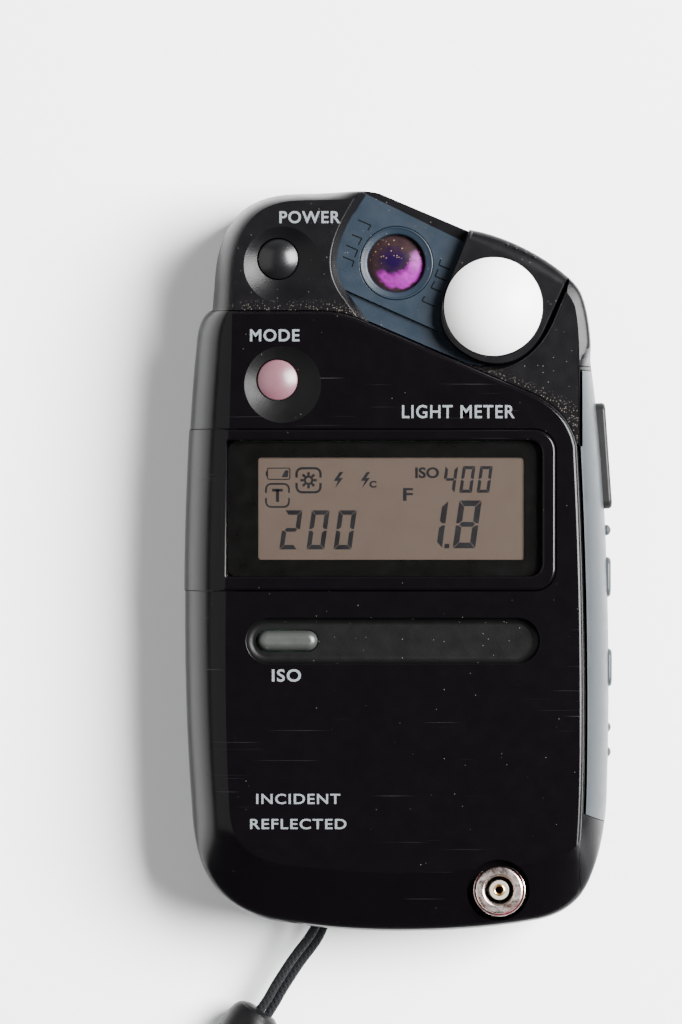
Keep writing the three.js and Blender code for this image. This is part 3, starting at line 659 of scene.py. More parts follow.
def lens_with_painted_reflections(name):
    """Dark glass with a painted magenta reflection low on the right, a painted dark reflection in the middle,
    and dust on the upper half.
    """
    n = Nodes(name)
    x, y = (
        n.math("DIVIDE", n.math("SUBTRACT", axis, middle * MM), LENS_RADIUS * MM)
        for axis, middle in zip(n.axes(), LENS_AT)
    )
    cloud = n.noise(700, 3.0)
    wobble = n.math("MULTIPLY", n.math("SUBTRACT", cloud, 0.5), 0.35)

    def away(centre_x, centre_y):
        dx, dy = n.math("SUBTRACT", x, centre_x), n.math("SUBTRACT", y, centre_y)
        squares = n.math("ADD", n.math("MULTIPLY", dx, dx), n.math("MULTIPLY", dy, dy))
        return n.math("ADD", n.math("SQRT", squares), wobble)

    # Painted reflection: the middle of the lens is painted darker, where the dark space over it would be
    # mirrored.
    painted_dark_reflection = n.between(away(-0.12, 0.08), 0.62, 0.22)
    brown = n.mix(cloud, (0.008, 0.004, 0.006, 1), (0.024, 0.014, 0.014, 1))
    base = n.mix(painted_dark_reflection, brown, (0.006, 0.002, 0.016, 1))
    # Painted reflection: the magenta of a light reflected in the lens, mixed in as a crescent low on the
    # right.
    magenta = n.mix(n.noise(1600, 3.0), (0.085, 0.003, 0.095, 1), (0.21, 0.014, 0.20, 1))
    base = n.mix(painted_reflection_crescent(n, x, y, cloud, away), base, magenta)
    specks = n.math("MULTIPLY", n.dust(2600, 0.30, 0.35), n.between(y, -0.1, 0.35))
    base = n.mix(n.math("MULTIPLY", specks, 0.7), base, LENS_DUST_TINT)
    rough = n.between(n.noise(500, 3.0), 0.3, 0.7, 0.16, 0.30)
    n.surface(Base_Color=base, Roughness=rough, Specular_IOR_Level=0.03)
    return n.material


def diffusing(name):
    n = Nodes(name)
    base = n.mix(n.noise(160, 3.0), (0.93, 0.92, 0.90, 1), (0.97, 0.965, 0.95, 1))
    n.surface(Base_Color=base, Roughness=0.45, Subsurface_Weight=0.4, Subsurface_Radius=(0.002, 0.002, 0.002))
    n.bump(n.noise(2200, 2.0), 0.000006)
    return n.material


# Each plastic's colour, roughness, height of grain in metres and scale of grain.
GLOSS_BLACK = plastic("gloss_black", (0.0016, 0.0012, 0.0017), 0.2, 0.000002, 1500, dust=0.01, scuffs=True,
                      Specular_IOR_Level=0.13)
SATIN_BLACK = plastic("satin_black", (0.0024, 0.0022, 0.0026), 0.34, 0.000012, 3200, dust=0.04,
                      Specular_IOR_Level=0.11)
HEAD_BLACK = plastic("head_black", (0.0024, 0.0022, 0.0026), 0.32, 0.000012, 3200, dust=0.06, ledge=True,
                     Specular_IOR_Level=0.12)
DISH_BLACK = plastic("button_black", (0.003, 0.003, 0.0034), 0.28, 0.000006, 2400, dust=0.06,
                     Specular_IOR_Level=0.35)
RECESS_BLACK = plastic("recess_black", (0.0022, 0.0021, 0.0023), 0.42, 0.000014, 3200, dust=0.04,
                       Specular_IOR_Level=0.1)
STRIP_GREY = plastic("strip_grey", (0.028, 0.033, 0.037), 0.34, 0.000012, 2600, Specular_IOR_Level=0.18)
KEY_GREY = plastic("key_grey", (0.008, 0.0085, 0.008), 0.42, 0.00001, 2600, dust=0.04,
                   Specular_IOR_Level=0.15)
ISO_GREY = plastic("iso_grey", (0.022, 0.0235, 0.0215), 0.38, 0.00001, 2600, dust=0.05)
MAUVE = plastic("mauve", (0.115, 0.050, 0.064), 0.34, 0.000015, 2200, dust=0.03)
SLATE = plastic("slate_panel", (0.0055, 0.0105, 0.0175), 0.4, 0.00001, 2800, dust=0.03,
                Specular_IOR_Level=0.25)
# Painted shade: the dark colour of the panel's engraved marks stands in for the shade inside their grooves.
ENGRAVING_SHADE_PAINT = plastic("slate_engraving_painted_shade", (0.0012, 0.0016, 0.002), 0.6, Specular_IOR_Level=0.05)
MASK = plastic("display_mask", (0.0008, 0.0007, 0.0006), 0.3, Specular_IOR_Level=0.15)
LCD = plastic("lcd_cell", (0.041, 0.0285, 0.021), 0.5, 0.000004, 3000, variation=0.03, Specular_IOR_Level=0.2)
INK = plastic("lcd_ink", (0.0012, 0.0011, 0.0018), 0.45, Specular_IOR_Level=0.2)
PRINT = plastic("pad_print", (0.105, 0.116, 0.125), 0.5, 0.000008, 4000, variation=0.08)
RED = plastic("red_ring", (0.12, 0.003, 0.015), 0.3)
CREAM = plastic("cream_insulator", (0.24, 0.22, 0.17), 0.4)
BEAD = plastic("bead_black", (0.003, 0.003, 0.0033), 0.38, 0.00001, 2000, dust=0.05, Specular_IOR_Level=0.15)
RUBBER = plastic("tie_rubber", (0.005, 0.005, 0.005), 0.7, 0.00003, 1500, Specular_IOR_Level=0.2)
ELASTOMER = plastic("elastomer", (0.5, 0.42, 0.4), 0.6)
NICKEL = metal("nickel", (0.56, 0.49, 0.46), 0.3, (0.30, 0.20, 0.17))
STEEL = metal("screw_steel", (0.35, 0.35, 0.36), 0.32)
GOLD = metal("gold", (0.80, 0.56, 0.24), 0.25, (0.6, 0.4, 0.18))
JACKET = metal("cell_jacket", (0.55, 0.40, 0.14), 0.35)
CIRCUIT = circuit("circuit_board")
WINDOW = clear_plastic("window", (0.003, 0.003, 0.003), 0.06, 0.05)
LENS = lens_with_painted_reflections("lens_painted_reflections")
DOME = diffusing("dome_white")
CORD = woven("braided_cord", (0.0022, 0.0024, 0.0035), 1.6)
THIN_CORD = woven("thin_cord", (0.0015, 0.0017, 0.0026), 0.9)

HIDDEN_FINISHES = (
    (ELASTOMER, ("upper_lcd_connector", "lower_lcd_connector")),
    (CIRCUIT, ("main_board", "sensor_board", "key_board")),
    (JACKET, ("aa_battery",)),
    (NICKEL, ("power_switch", "mode_switch", "iso_switch", "measuring_switch", "up_switch", "down_switch",
              "photodiode", "sync_nut", "battery_contact", "battery_spring", "strap_pin")),
)
for hidden_finish, hidden_nodes in HIDDEN_FINISHES:
    for hidden_node in hidden_nodes:
        hidden_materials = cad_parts[hidden_node].data.materials
        hidden_materials.clear()
        hidden_materials.append(hidden_finish)


# ---- Wrist strap ----

def on_curve(p, q, r, s, t):
    """A value between q and r on the Catmull-Rom curve through p, q, r and s."""
    bend = 2 * p - 5 * q + 4 * r - s
    twist = 3 * q - p - 3 * r + s
    return 0.5 * (2 * q + (r - p) * t + bend * t ** 2 + twist * t ** 3)


def smooth_path(points, per_span=6):
    padded = [points[0]] + list(points) + [points[-1]]
    found = []
    for knots in zip(padded, padded[1:], padded[2:], padded[3:]):
        for k in range(per_span):
            found.append(tuple(on_curve(*values, k / per_span) for values in zip(*knots)))
    found.append(points[-1])
    return found


def tube(name, path, radius, sides=16):
    """A cord's mesh, with a UV map that runs round it and along it in millimetres."""
    across = Vector((0, 0, 1))
    points = []
    for i, here in enumerate(path):
        ahead = Vector(path[min(i + 1, len(path) - 1)]) - Vector(path[max(i - 1, 0)])
        ahead.normalize()
        side = ahead.cross(across).normalized()
        across = side.cross(ahead).normalized()
        for k in range(sides):
            turn = 2 * math.pi * k / sides
            points.append(Vector(here) + radius * (math.cos(turn) * side + math.sin(turn) * across))
    piece = loft(name, [points[i * sides:(i + 1) * sides] for i in range(len(path))])
    lengths = [0.0]
    for a, b in zip(path, path[1:]):
        lengths.append(lengths[-1] + math.dist(a, b))
    layer = piece.data.uv_layers.new(name="UVMap")
    for face in piece.data.polygons:
        columns = [piece.data.loops[loop].vertex_index % sides for loop in face.loop_indices]
        wraps = max(columns) - min(columns) > sides / 2
        for loop, column in zip(face.loop_indices, columns):
            row = piece.data.loops[loop].vertex_index // sides
            round_share = (column + (sides if wraps and column < sides / 2 else 0)) / sides
            layer.data[loop].uv = (round_share, lengths[row])
    return piece


LOOP_ROUTE = (
    (-21.0, -68.0, 5.0),
    (-19.45, -65.84, 5.2),
    (-17.95, -63.24, 5.4),
    (-15.55, -59.54, 5.9),
    (-12.95, -56.04, 6.8),
    (-11.7, -53.6, 7.4),
    (-11.4, -51.8, 7.3),
    (-11.1, -50.7, 5.6),
    (-10.8, -51.8, 3.9),
    (-10.5, -53.6, 3.8),
    (-11.85, -56.78, 4.2),
    (-14.43, -60.28, 4.5),
    (-16.83, -63.98, 4.5),
    (-18.33, -66.58, 4.4),
    (-19.9, -69.0, 4.4),
)
BEAD_CENTRE = (-22.8, -71.1, 4.1)
BEAD_TURN = math.radians(-32)
LOOP_RADIUS = 0.68
STRAP_RADIUS = 1.75
STRAND_OUT = (
    (-24.9, -73.9, 3.2), (-25.8, -75.1, 3.0), (-27.6, -77.4, 2.4), (-30.6, -81.2, 1.9), (-32.2, -84.6, 1.8),
)
STRAND_BACK = (
    (-12.6, -84.6, 5.7), (-16.6, -81, 5.9), (-20.9, -78, 6.0), (-21.8, -75.9, 5.3), (-22.4, -74.6, 4.9),
)
HANK_X = -22.25
HANK_START = -91
HANK_OVERRUN = 4
FOLD = 10.5
HANK_TOP = -95.25
HANK_LOW = -137.75
LAYERS = (1.75, 5.35)
TIE_Y = -115
TIE_LIFT = 0.9
TIE_REACH = 8
TIE_WIDTH = 6


def fold_points(centre_y, start_turn, low, high):
    """The points of a fold between its two ends."""
    steps = 12
    found = []
    for k in range(1, steps):
        turn = start_turn + math.pi * k / steps
        z = low + (high - low) * k / steps
        found.append((HANK_X + FOLD * math.cos(turn), centre_y + FOLD * math.sin(turn), z))
    return found


def run_points(x, start, end, z):
    steps = 6
    return [(x, start + (end - start) * k / steps, z) for k in range(steps + 1)]


def lifted(points):
    """The runs rise a little where they pass through the tie."""
    return [(x, y, z + TIE_LIFT * math.exp(-((y - TIE_Y) / TIE_REACH) ** 2)) for x, y, z in points]


def strap_route():
    lower, upper = LAYERS
    left, right = HANK_X - FOLD, HANK_X + FOLD
    turns = run_points(left, HANK_START, HANK_LOW, lower)
    turns += fold_points(HANK_LOW, math.pi, lower, lower)
    turns += run_points(right, HANK_LOW, HANK_TOP, lower)
    turns += fold_points(HANK_TOP, 0, lower, upper)
    turns += run_points(left, HANK_TOP, HANK_LOW, upper)
    turns += fold_points(HANK_LOW, math.pi, upper, upper)
    turns += run_points(right, HANK_LOW, HANK_TOP + HANK_OVERRUN, upper)
    return list(STRAND_OUT) + lifted(turns) + list(STRAND_BACK)


def make_bead():
    bead = lathe("cord_bead", [
        (0, -4.5), (1.9, -4.5), (2.7, -4.35), (3.3, -3.95), (3.75, -3.2), (3.97, -2.2), (4.02, -1),
        (4.02, 1), (3.97, 2.2), (3.75, 3.2), (3.3, 3.9), (2.7, 4.3), (1.9, 4.5), (0, 4.5),
    ], steps=48)
    place(bead, shift(*BEAD_CENTRE) @ spin(BEAD_TURN) @ spin(math.radians(-90), "X"))
    return settle(bead, "case", BEAD, ["strap_bead"])


def make_tie():
    outline = rounded_rectangle(26.4, 9.2, 3.2, centre=(HANK_X, 4.6))
    tie = prism("rubber_tie", outline, 0, TIE_WIDTH, 0.25, 0.25)
    cut(tie, offset(outline, 0.9), BELOW, TIE_WIDTH + 1)
    upright = Matrix(((1, 0, 0, 0), (0, 0, -1, 0), (0, 1, 0, 0), (0, 0, 0, 1)))
    place(tie, shift(0, TIE_Y + TIE_WIDTH / 2, 0) @ upright)
    return settle(tie, "case", RUBBER, ["hank_tie"])


def make_strap():
    bead = make_bead()
    loop_path = smooth_path(LOOP_ROUTE)
    loop = tube("thin_loop", loop_path, LOOP_RADIUS, 12)
    settle(loop, "case", THIN_CORD, ["strap_loop"], angle=ROUND_ANGLE)
    strap_path = smooth_path(strap_route(), 4)
    strap = tube("wrist_cord", strap_path, STRAP_RADIUS, 20)
    stands_for = ["strap_strand_out", "strap_strand_back", "strap_hank"]
    settle(strap, "case", CORD, stands_for, angle=ROUND_ANGLE)
    tie = make_tie()


make_strap()


# ---- Case shells ----

MODE = (-17.7, 26.9)
MODE_DISH = (-16.9, 26.2)
POWER = (-17.6, 44.8)
POWER_DISH = (-17.0, 43.9)
ISO = (-16.2, -11.6)
GROOVE = (-0.6, -11.6)
SYNC = (15.1, -48.5)
SYNC_DISH = (14.95, -48.5)
DISPLAY = (-1.7, 7.8)
DOME_AT = (14.2, 37.75)
SCREWS = ((21.6, -40), (-8, -42.5), (-11.5, 49.6), (23.2, 28))
SCREW_TOWER = 2.2
SCREW_BORE = 1.15
SCREW_HEAD_HOLE = 2.05
BUTTON_HOLE = 3.12
SYNC_HOLE = 2.9
SYNC_MOAT = 4.65
SYNC_BOSS = 5.9
GROOVE_SIZE = (43.3, 6.8)
GROOVE_FLOOR = 18.75
DISH_RADIUS = 5.6
DISH_DEPTH = 1.4
DISH_LIP = 0.25
BAND = {"right": 23.4, "low": -4.2, "high": 19.6, "corner": 3.2, "top": 20.25}
WINDOW_OUTLINE = frame_outline(-25.1, -2.05, 21.3, 17.9, 0.15, 1.9)


def half_space(low, high):
    return prism("slab", box_outline(-FAR, -FAR, FAR, FAR), low, high)


def dish_cutter(centre, face):
    """A shallow bowl that meets the face in a small rounded lip."""
    floor = face - DISH_DEPTH
    sphere = (DISH_RADIUS ** 2 + DISH_DEPTH ** 2) / (2 * DISH_DEPTH)
    widest = math.asin(DISH_RADIUS / sphere)
    profile = [(0, floor)]
    for k in range(1, 15):
        turn = widest * k / 15
        profile.append((sphere * math.sin(turn), floor + sphere * (1 - math.cos(turn))))
    for k in range(6):
        turn = widest * (1 - k / 5)
        reach = DISH_RADIUS + DISH_LIP * (math.sin(widest) - math.sin(turn))
        profile.append((reach, face - DISH_LIP * (1 - math.cos(turn)) + LIP_OVERLAP))
    profile += [(DISH_RADIUS + DISH_LIP * math.sin(widest), face + 20), (0, face + 20)]
    return lathe("dish", profile, centre, 96)


def band_outline(clear_by=0.0):
    right = BAND["right"] + clear_by
    low, high, corner = BAND["low"] - clear_by, BAND["high"] + clear_by, BAND["corner"] + clear_by
    outline = [(-FAR, high), (-FAR, low)]
    outline += arc((right - corner, low + corner), corner, -math.pi / 2, math.pi / 2, 12)
    outline += arc((right - corner, high - corner), corner, 0, math.pi / 2, 12)
    return outline


def hollow_cover(cover):
    """Takes out the inside, but leaves a thick rim where the face meets the head and the strip."""
    hollow = case_form(FACE_Z, WALL, 4)
    carve(hollow, prism("region", display_outline(-1.6), BELOW, 40), "INTERSECT")
    low_hollow = case_form(FACE_Z, WALL, 4)
    carve(low_hollow, half_space(BELOW, 15.5), "INTERSECT")
    carve(cover, hollow)
    carve(cover, low_hollow)


def cut_from_skin(target, tool, thickness):
    """Cuts away what the tool takes from the outer skin of the case, down to a depth."""
    carve(tool, case_form(FACE_Z, thickness, 8))
    return carve(target, tool)


def make_front_cover():
    cover = case_form(FACE_Z)
    region = prism("region", display_outline(), SEAM_HIGH, FACE_Z + OVERLAP, 0.75, steps=8)
    carve(cover, region, "INTERSECT")
    hollow_cover(cover)
    boss = prism("boss", circle(SYNC_BOSS, SYNC), 10.9, 19)
    carve(boss, case_form(FACE_Z - 0.02), "INTERSECT")
    carve(cover, boss, "UNION")
    cut_from_skin(cover, prism("recess", band_outline(LINE), BELOW, FAR), SKIN + 0.3)
    cut(cover, rounded_rectangle(47.2, 20.6, 1.2, centre=DISPLAY))
    carve(cover, dish_cutter(MODE_DISH, FACE_Z))
    cut(cover, circle(BUTTON_HOLE, MODE))
    carve(cover, flared_cutter(capsule(*GROOVE_SIZE, GROOVE), GROOVE_FLOOR, FACE_Z, 1.1, 0.12))
    cut(cover, capsule(9.2, 3.3, ISO))
    cut_from_skin(cover, prism("moat", circle(SYNC_MOAT, SYNC_DISH, 96), 6, FAR), 1.3)
    cut(cover, circle(SYNC_HOLE, SYNC), 9)
    settle(cover, "case", GLOSS_BLACK, ["front_cover"])
    refinish(cover, RECESS_BLACK, in_front_recess)


def in_front_recess(point):
    below_face = point.z < FACE_Z - OVERLAP
    in_dish = math.dist(point[:2], MODE_DISH) < DISH_RADIUS + DISH_LIP
    in_groove = abs(point.x - GROOVE[0]) < 21.7 and abs(point.y - GROOVE[1]) < 3.5 and point.z > 18
    return below_face and (in_dish or in_groove)


def make_bezel():
    bezel = case_form(BAND["top"])
    place(bezel, Matrix.Diagonal((1.004, 1, 1, 1)))
    region = prism("region", band_outline(), SEAM_Z + 0.3, BAND["top"] + OVERLAP, 0.5, steps=8)
    carve(bezel, region, "INTERSECT")
    carve(bezel, case_form(FACE_Z, SKIN, 8))
    carve(bezel, flared_cutter(WINDOW_OUTLINE, 10, BAND["top"], 0, 0.45))
    settle(bezel, "case", GLOSS_BLACK, ["display_bezel"])


def channel_outline():
    line = [(-5.2, 57), (-5.4, 54.6)]
    line += bezier(((-5.4, 54.6), (-9.4, 48.6), (-11.4, 43.6), (-7.6, 39)), 24)
    line += [(-4, 34), (9.3, 29)]
    line += bezier(((9.3, 29), (15, 27.2), (20, 29.4), (22.8, 35.1)), 24)
    line += [(26.4, 43.6), (32, 57)]
    return line


def make_head_cover():
    head = case_form(HEAD_Z)
    carve(head, half_space(SEAM_HIGH, FAR), "INTERSECT")
    cut(head, box_outline(-FAR, -FAR, FAR, RIM_TOP[1] + 0.3), BELOW)
    cut(head, display_outline(LINE), BELOW)
    carve(head, flank_cutter(LINE))
    carve(head, case_form(HEAD_Z, WALL, 6))
    carve(head, flared_cutter(channel_outline(), CHANNEL_Z, HEAD_Z, 0, 0.45, 0.85))
    carve(head, dish_cutter(POWER_DISH, HEAD_Z))
    cut(head, circle(BUTTON_HOLE, POWER))
    settle(head, "case", HEAD_BLACK, ["head_cover"])


def strip_cutter(clear_by, inset=0.0):
    """The room of the grey strip, whose lower end is slanted."""
    left, top = 20, 28.3 + clear_by
    region = flank_cutter(-LINE - 0.1 + clear_by - inset)
    outline = [(left, -34 - clear_by), (27, -36.9 - clear_by), (FAR, -54.8 - clear_by)]
    outline += [(FAR, top), (left, top)]
    slab = prism("strip", outline, 2.6 - clear_by, FAR)
    return carve(region, slab, "INTERSECT")


SIDE_KEYS = {
    "measuring_button": {
        "at": (15.6, 8.6), "size": (15.8, 6.2), "out": 31.6, "tilt": 0.07, "body": "measure",
    },
    "up_key": {"at": (-2.3, 8.6), "size": (6, 5), "out": 31.95, "tilt": 0, "body": "up"},
    "down_key": {"at": (-15.8, 8.6), "size": (5.7, 5), "out": 32.1, "tilt": 0, "body": "down"},
}


def side_hole(key, clear_by):
    width, height = (side + 2 * clear_by for side in key["size"])
    hole = prism("hole", rounded_rectangle(width, height, 1.4 + clear_by), 0, 14)
    return place(hole, shift(key["out"] - 8, *key["at"]) @ SIDEWAYS)


def make_rear_cover():
    rear = case_form(FLANK_Z)
    share = half_space(-2, SEAM_LOW)
    carve(share, flank_cutter(0), "UNION")
    carve(rear, share, "INTERSECT")
    eyelet = prism("eyelet", box_outline(-17, -FAR, -4.5, -47.8), 1, SEAM_LOW)
    carve(eyelet, case_form(FLANK_Z), "INTERSECT")
    carve(rear, case_form(FLANK_Z, WALL, 4))
    carve(rear, eyelet, "UNION")
    for screw in SCREWS:
        carve(rear, prism("tower", circle(SCREW_TOWER, screw, 32), 0.5, SEAM_LOW), "UNION")
    recess = strip_cutter(LINE)
    carve(recess, case_form(FLANK_Z, SKIN + 0.3, 8))
    carve(rear, recess)
    for key in SIDE_KEYS.values():
        carve(rear, side_hole(key, 0.2))
    cut_back_openings(rear)
    settle(rear, "case", SATIN_BLACK, ["rear_cover"])


def cut_back_openings(rear):
    """The door's seat, the battery hatch, the slot for the strap and the screw holes."""
    cut(rear, box_outline(-26.6, -FAR, -10.4, 7.7), BELOW, 1.6)
    cut(rear, box_outline(-26.85, -44.8, -11.75, 7.1), BELOW, 3.2)
    slot_outline = rounded_rectangle(9.5, 40, 0.8, centre=(-10.75, -69.4))
    carve(rear, prism("slot", slot_outline, 2.5, 8.4, 0.6, 0.6))
    for screw in SCREWS:
        cut(rear, circle(SCREW_BORE, screw, 32), BELOW, 12)
        carve(rear, flip_cutter(circle(SCREW_HEAD_HOLE, screw, 48), 1.9, 0.25))


def make_side_panel():
    panel = case_form(FLANK_Z + 0.2)
    carve(panel, strip_cutter(0, 0.28), "INTERSECT")
    carve(panel, case_form(FLANK_Z, SKIN, 8))
    for key in SIDE_KEYS.values():
        carve(panel, side_hole(key, LINE))
    for y in (4.7, -24.7, -28.4):
        dot_profile = [(0, -0.6), (0.8, -0.5)] + arc_profile(0.8, 0, 0.55, 6) + [(0, 0.55)]
        dot = lathe("dot", dot_profile, steps=24)
        place(dot, shift(31.45, y, 9) @ SIDEWAYS)
        carve(panel, dot, "UNION")
    settle(panel, "case", STRIP_GREY, ["side_panel"])


def make_battery_door():
    door = case_form(FACE_Z)
    plate = prism("plate", box_outline(-26.5, -FAR, -10.5, 7.6), -1, 1.4)
    carve(door, plate, "INTERSECT")
    for k in range(6):
        groove = rounded_rectangle(9, 0.9, 0.44, 4, (-18.5, -34 - 1.9 * k))
        carve(door, flip_cutter(groove, 0.45, 0.12))
    settle(door, "door", SATIN_BLACK, ["battery_door"])


make_rear_cover()
make_front_cover()
make_head_cover()
make_bezel()
make_side_panel()
make_battery_door()


# ---- Display ----

LCD_TOP = 18.5
SLANT = math.tan(math.radians(8))
SEGMENTS = {
    "0": "abcdef", "1": "bc", "2": "abged", "4": "fgbc", "8": "abcdefg",
}


def segment_shapes(width, height, stroke):
    """The seven bars of a digit, as outlines in the digit's own frame."""
    cut_back = stroke * 0.12
    half = height / 2
    half_bar = stroke * 0.42
    gap = cut_back * 1.6
    inner = width - stroke
    shoulder = height - stroke
    top = [(cut_back, height), (stroke, shoulder), (inner, shoulder), (width - cut_back, height)]
    bottom = [(cut_back, 0), (width - cut_back, 0), (inner, stroke), (stroke, stroke)]
    middle = [
        (cut_back + stroke * 0.5, half), (stroke, half - half_bar), (inner, half - half_bar),
        (width - cut_back - stroke * 0.5, half), (inner, half + half_bar), (stroke, half + half_bar),
    ]
    upper_left = [
        (0, height - cut_back), (0, half + gap), (stroke * 0.5, half + gap), (stroke, half + stroke * 0.6),
        (stroke, height - stroke - cut_back),
    ]
    lower_left = [
        (0, cut_back), (stroke, stroke + cut_back), (stroke, half - stroke * 0.6),
        (stroke * 0.5, half - gap), (0, half - gap),
    ]
    return {
        "a": top,
        "g": middle,
        "d": bottom,
        "f": upper_left,
        "e": lower_left,
        "b": [(width - x, y) for x, y in reversed(upper_left)],
        "c": [(width - x, y) for x, y in reversed(lower_left)],
    }


def digit(symbol, x, y, width, height, stroke):
    shapes = segment_shapes(width, height, stroke)
    found = []
    for letter in SEGMENTS[symbol]:
        found.append([(x + px + py * SLANT, y + py) for px, py in shapes[letter]])
    return found


def bar_between(a, b, width):
    ax, ay = a
    bx, by = b
    length = math.hypot(bx - ax, by - ay) or 1
    nx, ny = -(by - ay) / length * width / 2, (bx - ax) / length * width / 2
    return [(ax + nx, ay + ny), (ax - nx, ay - ny), (bx - nx, by - ny), (bx + nx, by + ny)]


def broken_box(x, y, size, gap_sides, stroke):
    """A rounded square outline with a gap in the middle of its level (0) or upright (1) sides."""
    outline = rounded_rectangle(size, size, size * 0.22, 4, (x, y))
    found = []
    for a, b in zip(outline, outline[1:] + outline[:1]):
        side = 0 if abs(b[0] - a[0]) > abs(b[1] - a[1]) else 1
        is_broken = math.dist(a, b) > size * 0.3 and side in gap_sides
        for share in ((0, 0.30), (0.70, 1)) if is_broken else ((0, 1),):
            ends = [tuple(p + (q - p) * s for p, q in zip(a, b)) for s in share]
            found.append(bar_between(*ends, stroke))
    return found


def flash_bolt(x, y, size):
    points = (
        (0.10, 0.5), (-0.26, -0.04), (0.00, -0.04), (-0.18, -0.5), (0.30, 0.14), (0.06, 0.14), (0.32, 0.5),
    )
    return [(x + px * size, y + py * size) for px, py in points]


def outlined(outline, stroke):
    return [bar_between(a, b, stroke) for a, b in zip(outline, outline[1:] + outline[:1])]


def sun_shapes(x, y):
    shapes = outlined(circle(0.56, (x, y), 20), 0.3)
    for k in range(8):
        turn = math.pi / 4 * k
        way = (math.cos(turn), math.sin(turn))
        shapes.append(bar_between(
            (x + way[0] * 0.72, y + way[1] * 0.72), (x + way[0] * 1.2, y + way[1] * 1.2), 0.36,
        ))
    return shapes


def battery_shapes(x, y):
    shapes = outlined(rounded_rectangle(3.3, 1.65, 0.2, 2, (x, y)), 0.15)
    shapes.append(bar_between((x - 1.9, y), (x - 1.65, y), 0.7))
    shapes.append([(x + 0.45, y - 0.5), (x + 1.35, y - 0.5), (x + 1.45, y + 0.5), (x + 0.95, y + 0.5)])
    return shapes


def lcd_shapes():
    small, medium, large = (1.86, 3.94, 0.46), (2.62, 5.77, 0.66), (3.3, 7.05, 0.84)
    shapes = digit("1", 3.3, 2.05, *large) + digit("8", 8.2, 2.05, *large)
    for k, symbol in enumerate("200"):
        shapes += digit(symbol, -17.4 + 4.0 * k, 1.88, *medium)
    for k, symbol in enumerate("400"):
        shapes += digit(symbol, 6.6 + 2.56 * k, 10.24, *small)
    shapes.append([(6.95, 2.05), (7.65, 2.05), (7.72, 2.7), (7.02, 2.7)])
    shapes += broken_box(-17.67, 9.85, 3.4, (1,), 0.26)
    shapes.append(bar_between((-18.45, 10.62), (-16.89, 10.62), 0.42))
    shapes.append(bar_between((-17.67, 10.7), (-17.67, 8.9), 0.44))
    shapes += broken_box(-13.09, 12.09, 3.55, (1,), 0.34)
    shapes += sun_shapes(-13.09, 12.09)
    shapes += [flash_bolt(-8.73, 12.1, 2.4), flash_bolt(-4.75, 12.1, 2.4)]
    shapes += battery_shapes(-17.5, 13.05)
    return shapes


def flat_shapes(name, shapes, low, high):
    """Thin raised outlines, joined into one mesh."""
    points, faces = [], []
    for shape in shapes:
        area = sum(a[0] * b[1] - b[0] * a[1] for a, b in zip(shape, shape[1:] + shape[:1]))
        ordered = shape if area > 0 else list(reversed(shape))
        faces += skin_faces(len(ordered), 2, start=len(points))
        points += at_height(ordered, low) + at_height(ordered, high)
    return mesh_from(name, points, faces)


def lettering(name, words, centre, size, z, finish, weight, spacing=1.0, width=None):
    """Generic words as thin raised type, centred on a point and stretched to a width, if one is given."""
    curve = bpy.data.curves.new(name, "FONT")
    curve.body = words
    curve.align_x = "CENTER"
    curve.align_y = "CENTER"
    curve.size = size
    curve.space_character = spacing
    curve.offset = weight
    curve.extrude = 0.01
    curve.resolution_u = 6
    holder = new_object(name, curve)
    bpy.context.view_layer.update()
    graph = bpy.context.evaluated_depsgraph_get()
    mesh = bpy.data.meshes.new_from_object(holder.evaluated_get(graph))
    bpy.data.objects.remove(holder)
    xs = [v.co.x for v in mesh.vertices]
    ys = [v.co.y for v in mesh.vertices]
    stretch = width / (max(xs) - min(xs)) if width else 1.0
    middle = ((max(xs) + min(xs)) / 2, (max(ys) + min(ys)) / 2)
    scale = Matrix.Diagonal((MM * stretch, MM, MM, 1))
    mesh.transform(shift(centre[0], centre[1], z) @ scale @ Matrix.Translation((-middle[0], -middle[1], 0)))
    piece = new_object(name, mesh)
    return settle(piece, "case", finish, soft_edges=False)


def make_display():
    window = prism("clear_window", offset(WINDOW_OUTLINE, 0.06), 18.9, 19.75, 0.12)
    settle(window, "case", WINDOW, ["display_window"])
    mask = prism("black_border", rounded_rectangle(46.6, 20, 1.5, centre=DISPLAY), 18.6, 18.84)
    cut(mask, rounded_rectangle(39.4, 15.1, 0.45, 5, (-0.8, 7.9)), 18, 19)
    settle(mask, "case", MASK, ["display_mask"])
    cell = prism("lcd_plate", rounded_rectangle(43, 18, 0.3, 3, DISPLAY), 17.75, LCD_TOP, 0.05)
    settle(cell, "case", LCD, ["lcd_glass"])
    ink = flat_shapes("lcd_segments", lcd_shapes(), LCD_TOP - 0.01, LCD_TOP + 0.02)
    settle(ink, "case", INK, soft_edges=False)
    for name, words, centre, size, width in (
        ("lcd_iso", "ISO", (4.42, 13.2), 2.15, 3.5),
        ("lcd_f", "F", (1.6, 10.0), 2.6, 1.45),
        ("lcd_c", "C", (-3.58, 11.5), 1.3, 1.05),
    ):
        lettering(name, words, centre, size, LCD_TOP + 0.01, INK, 0.06, width=width)


make_display()


# ---- Printed words ----

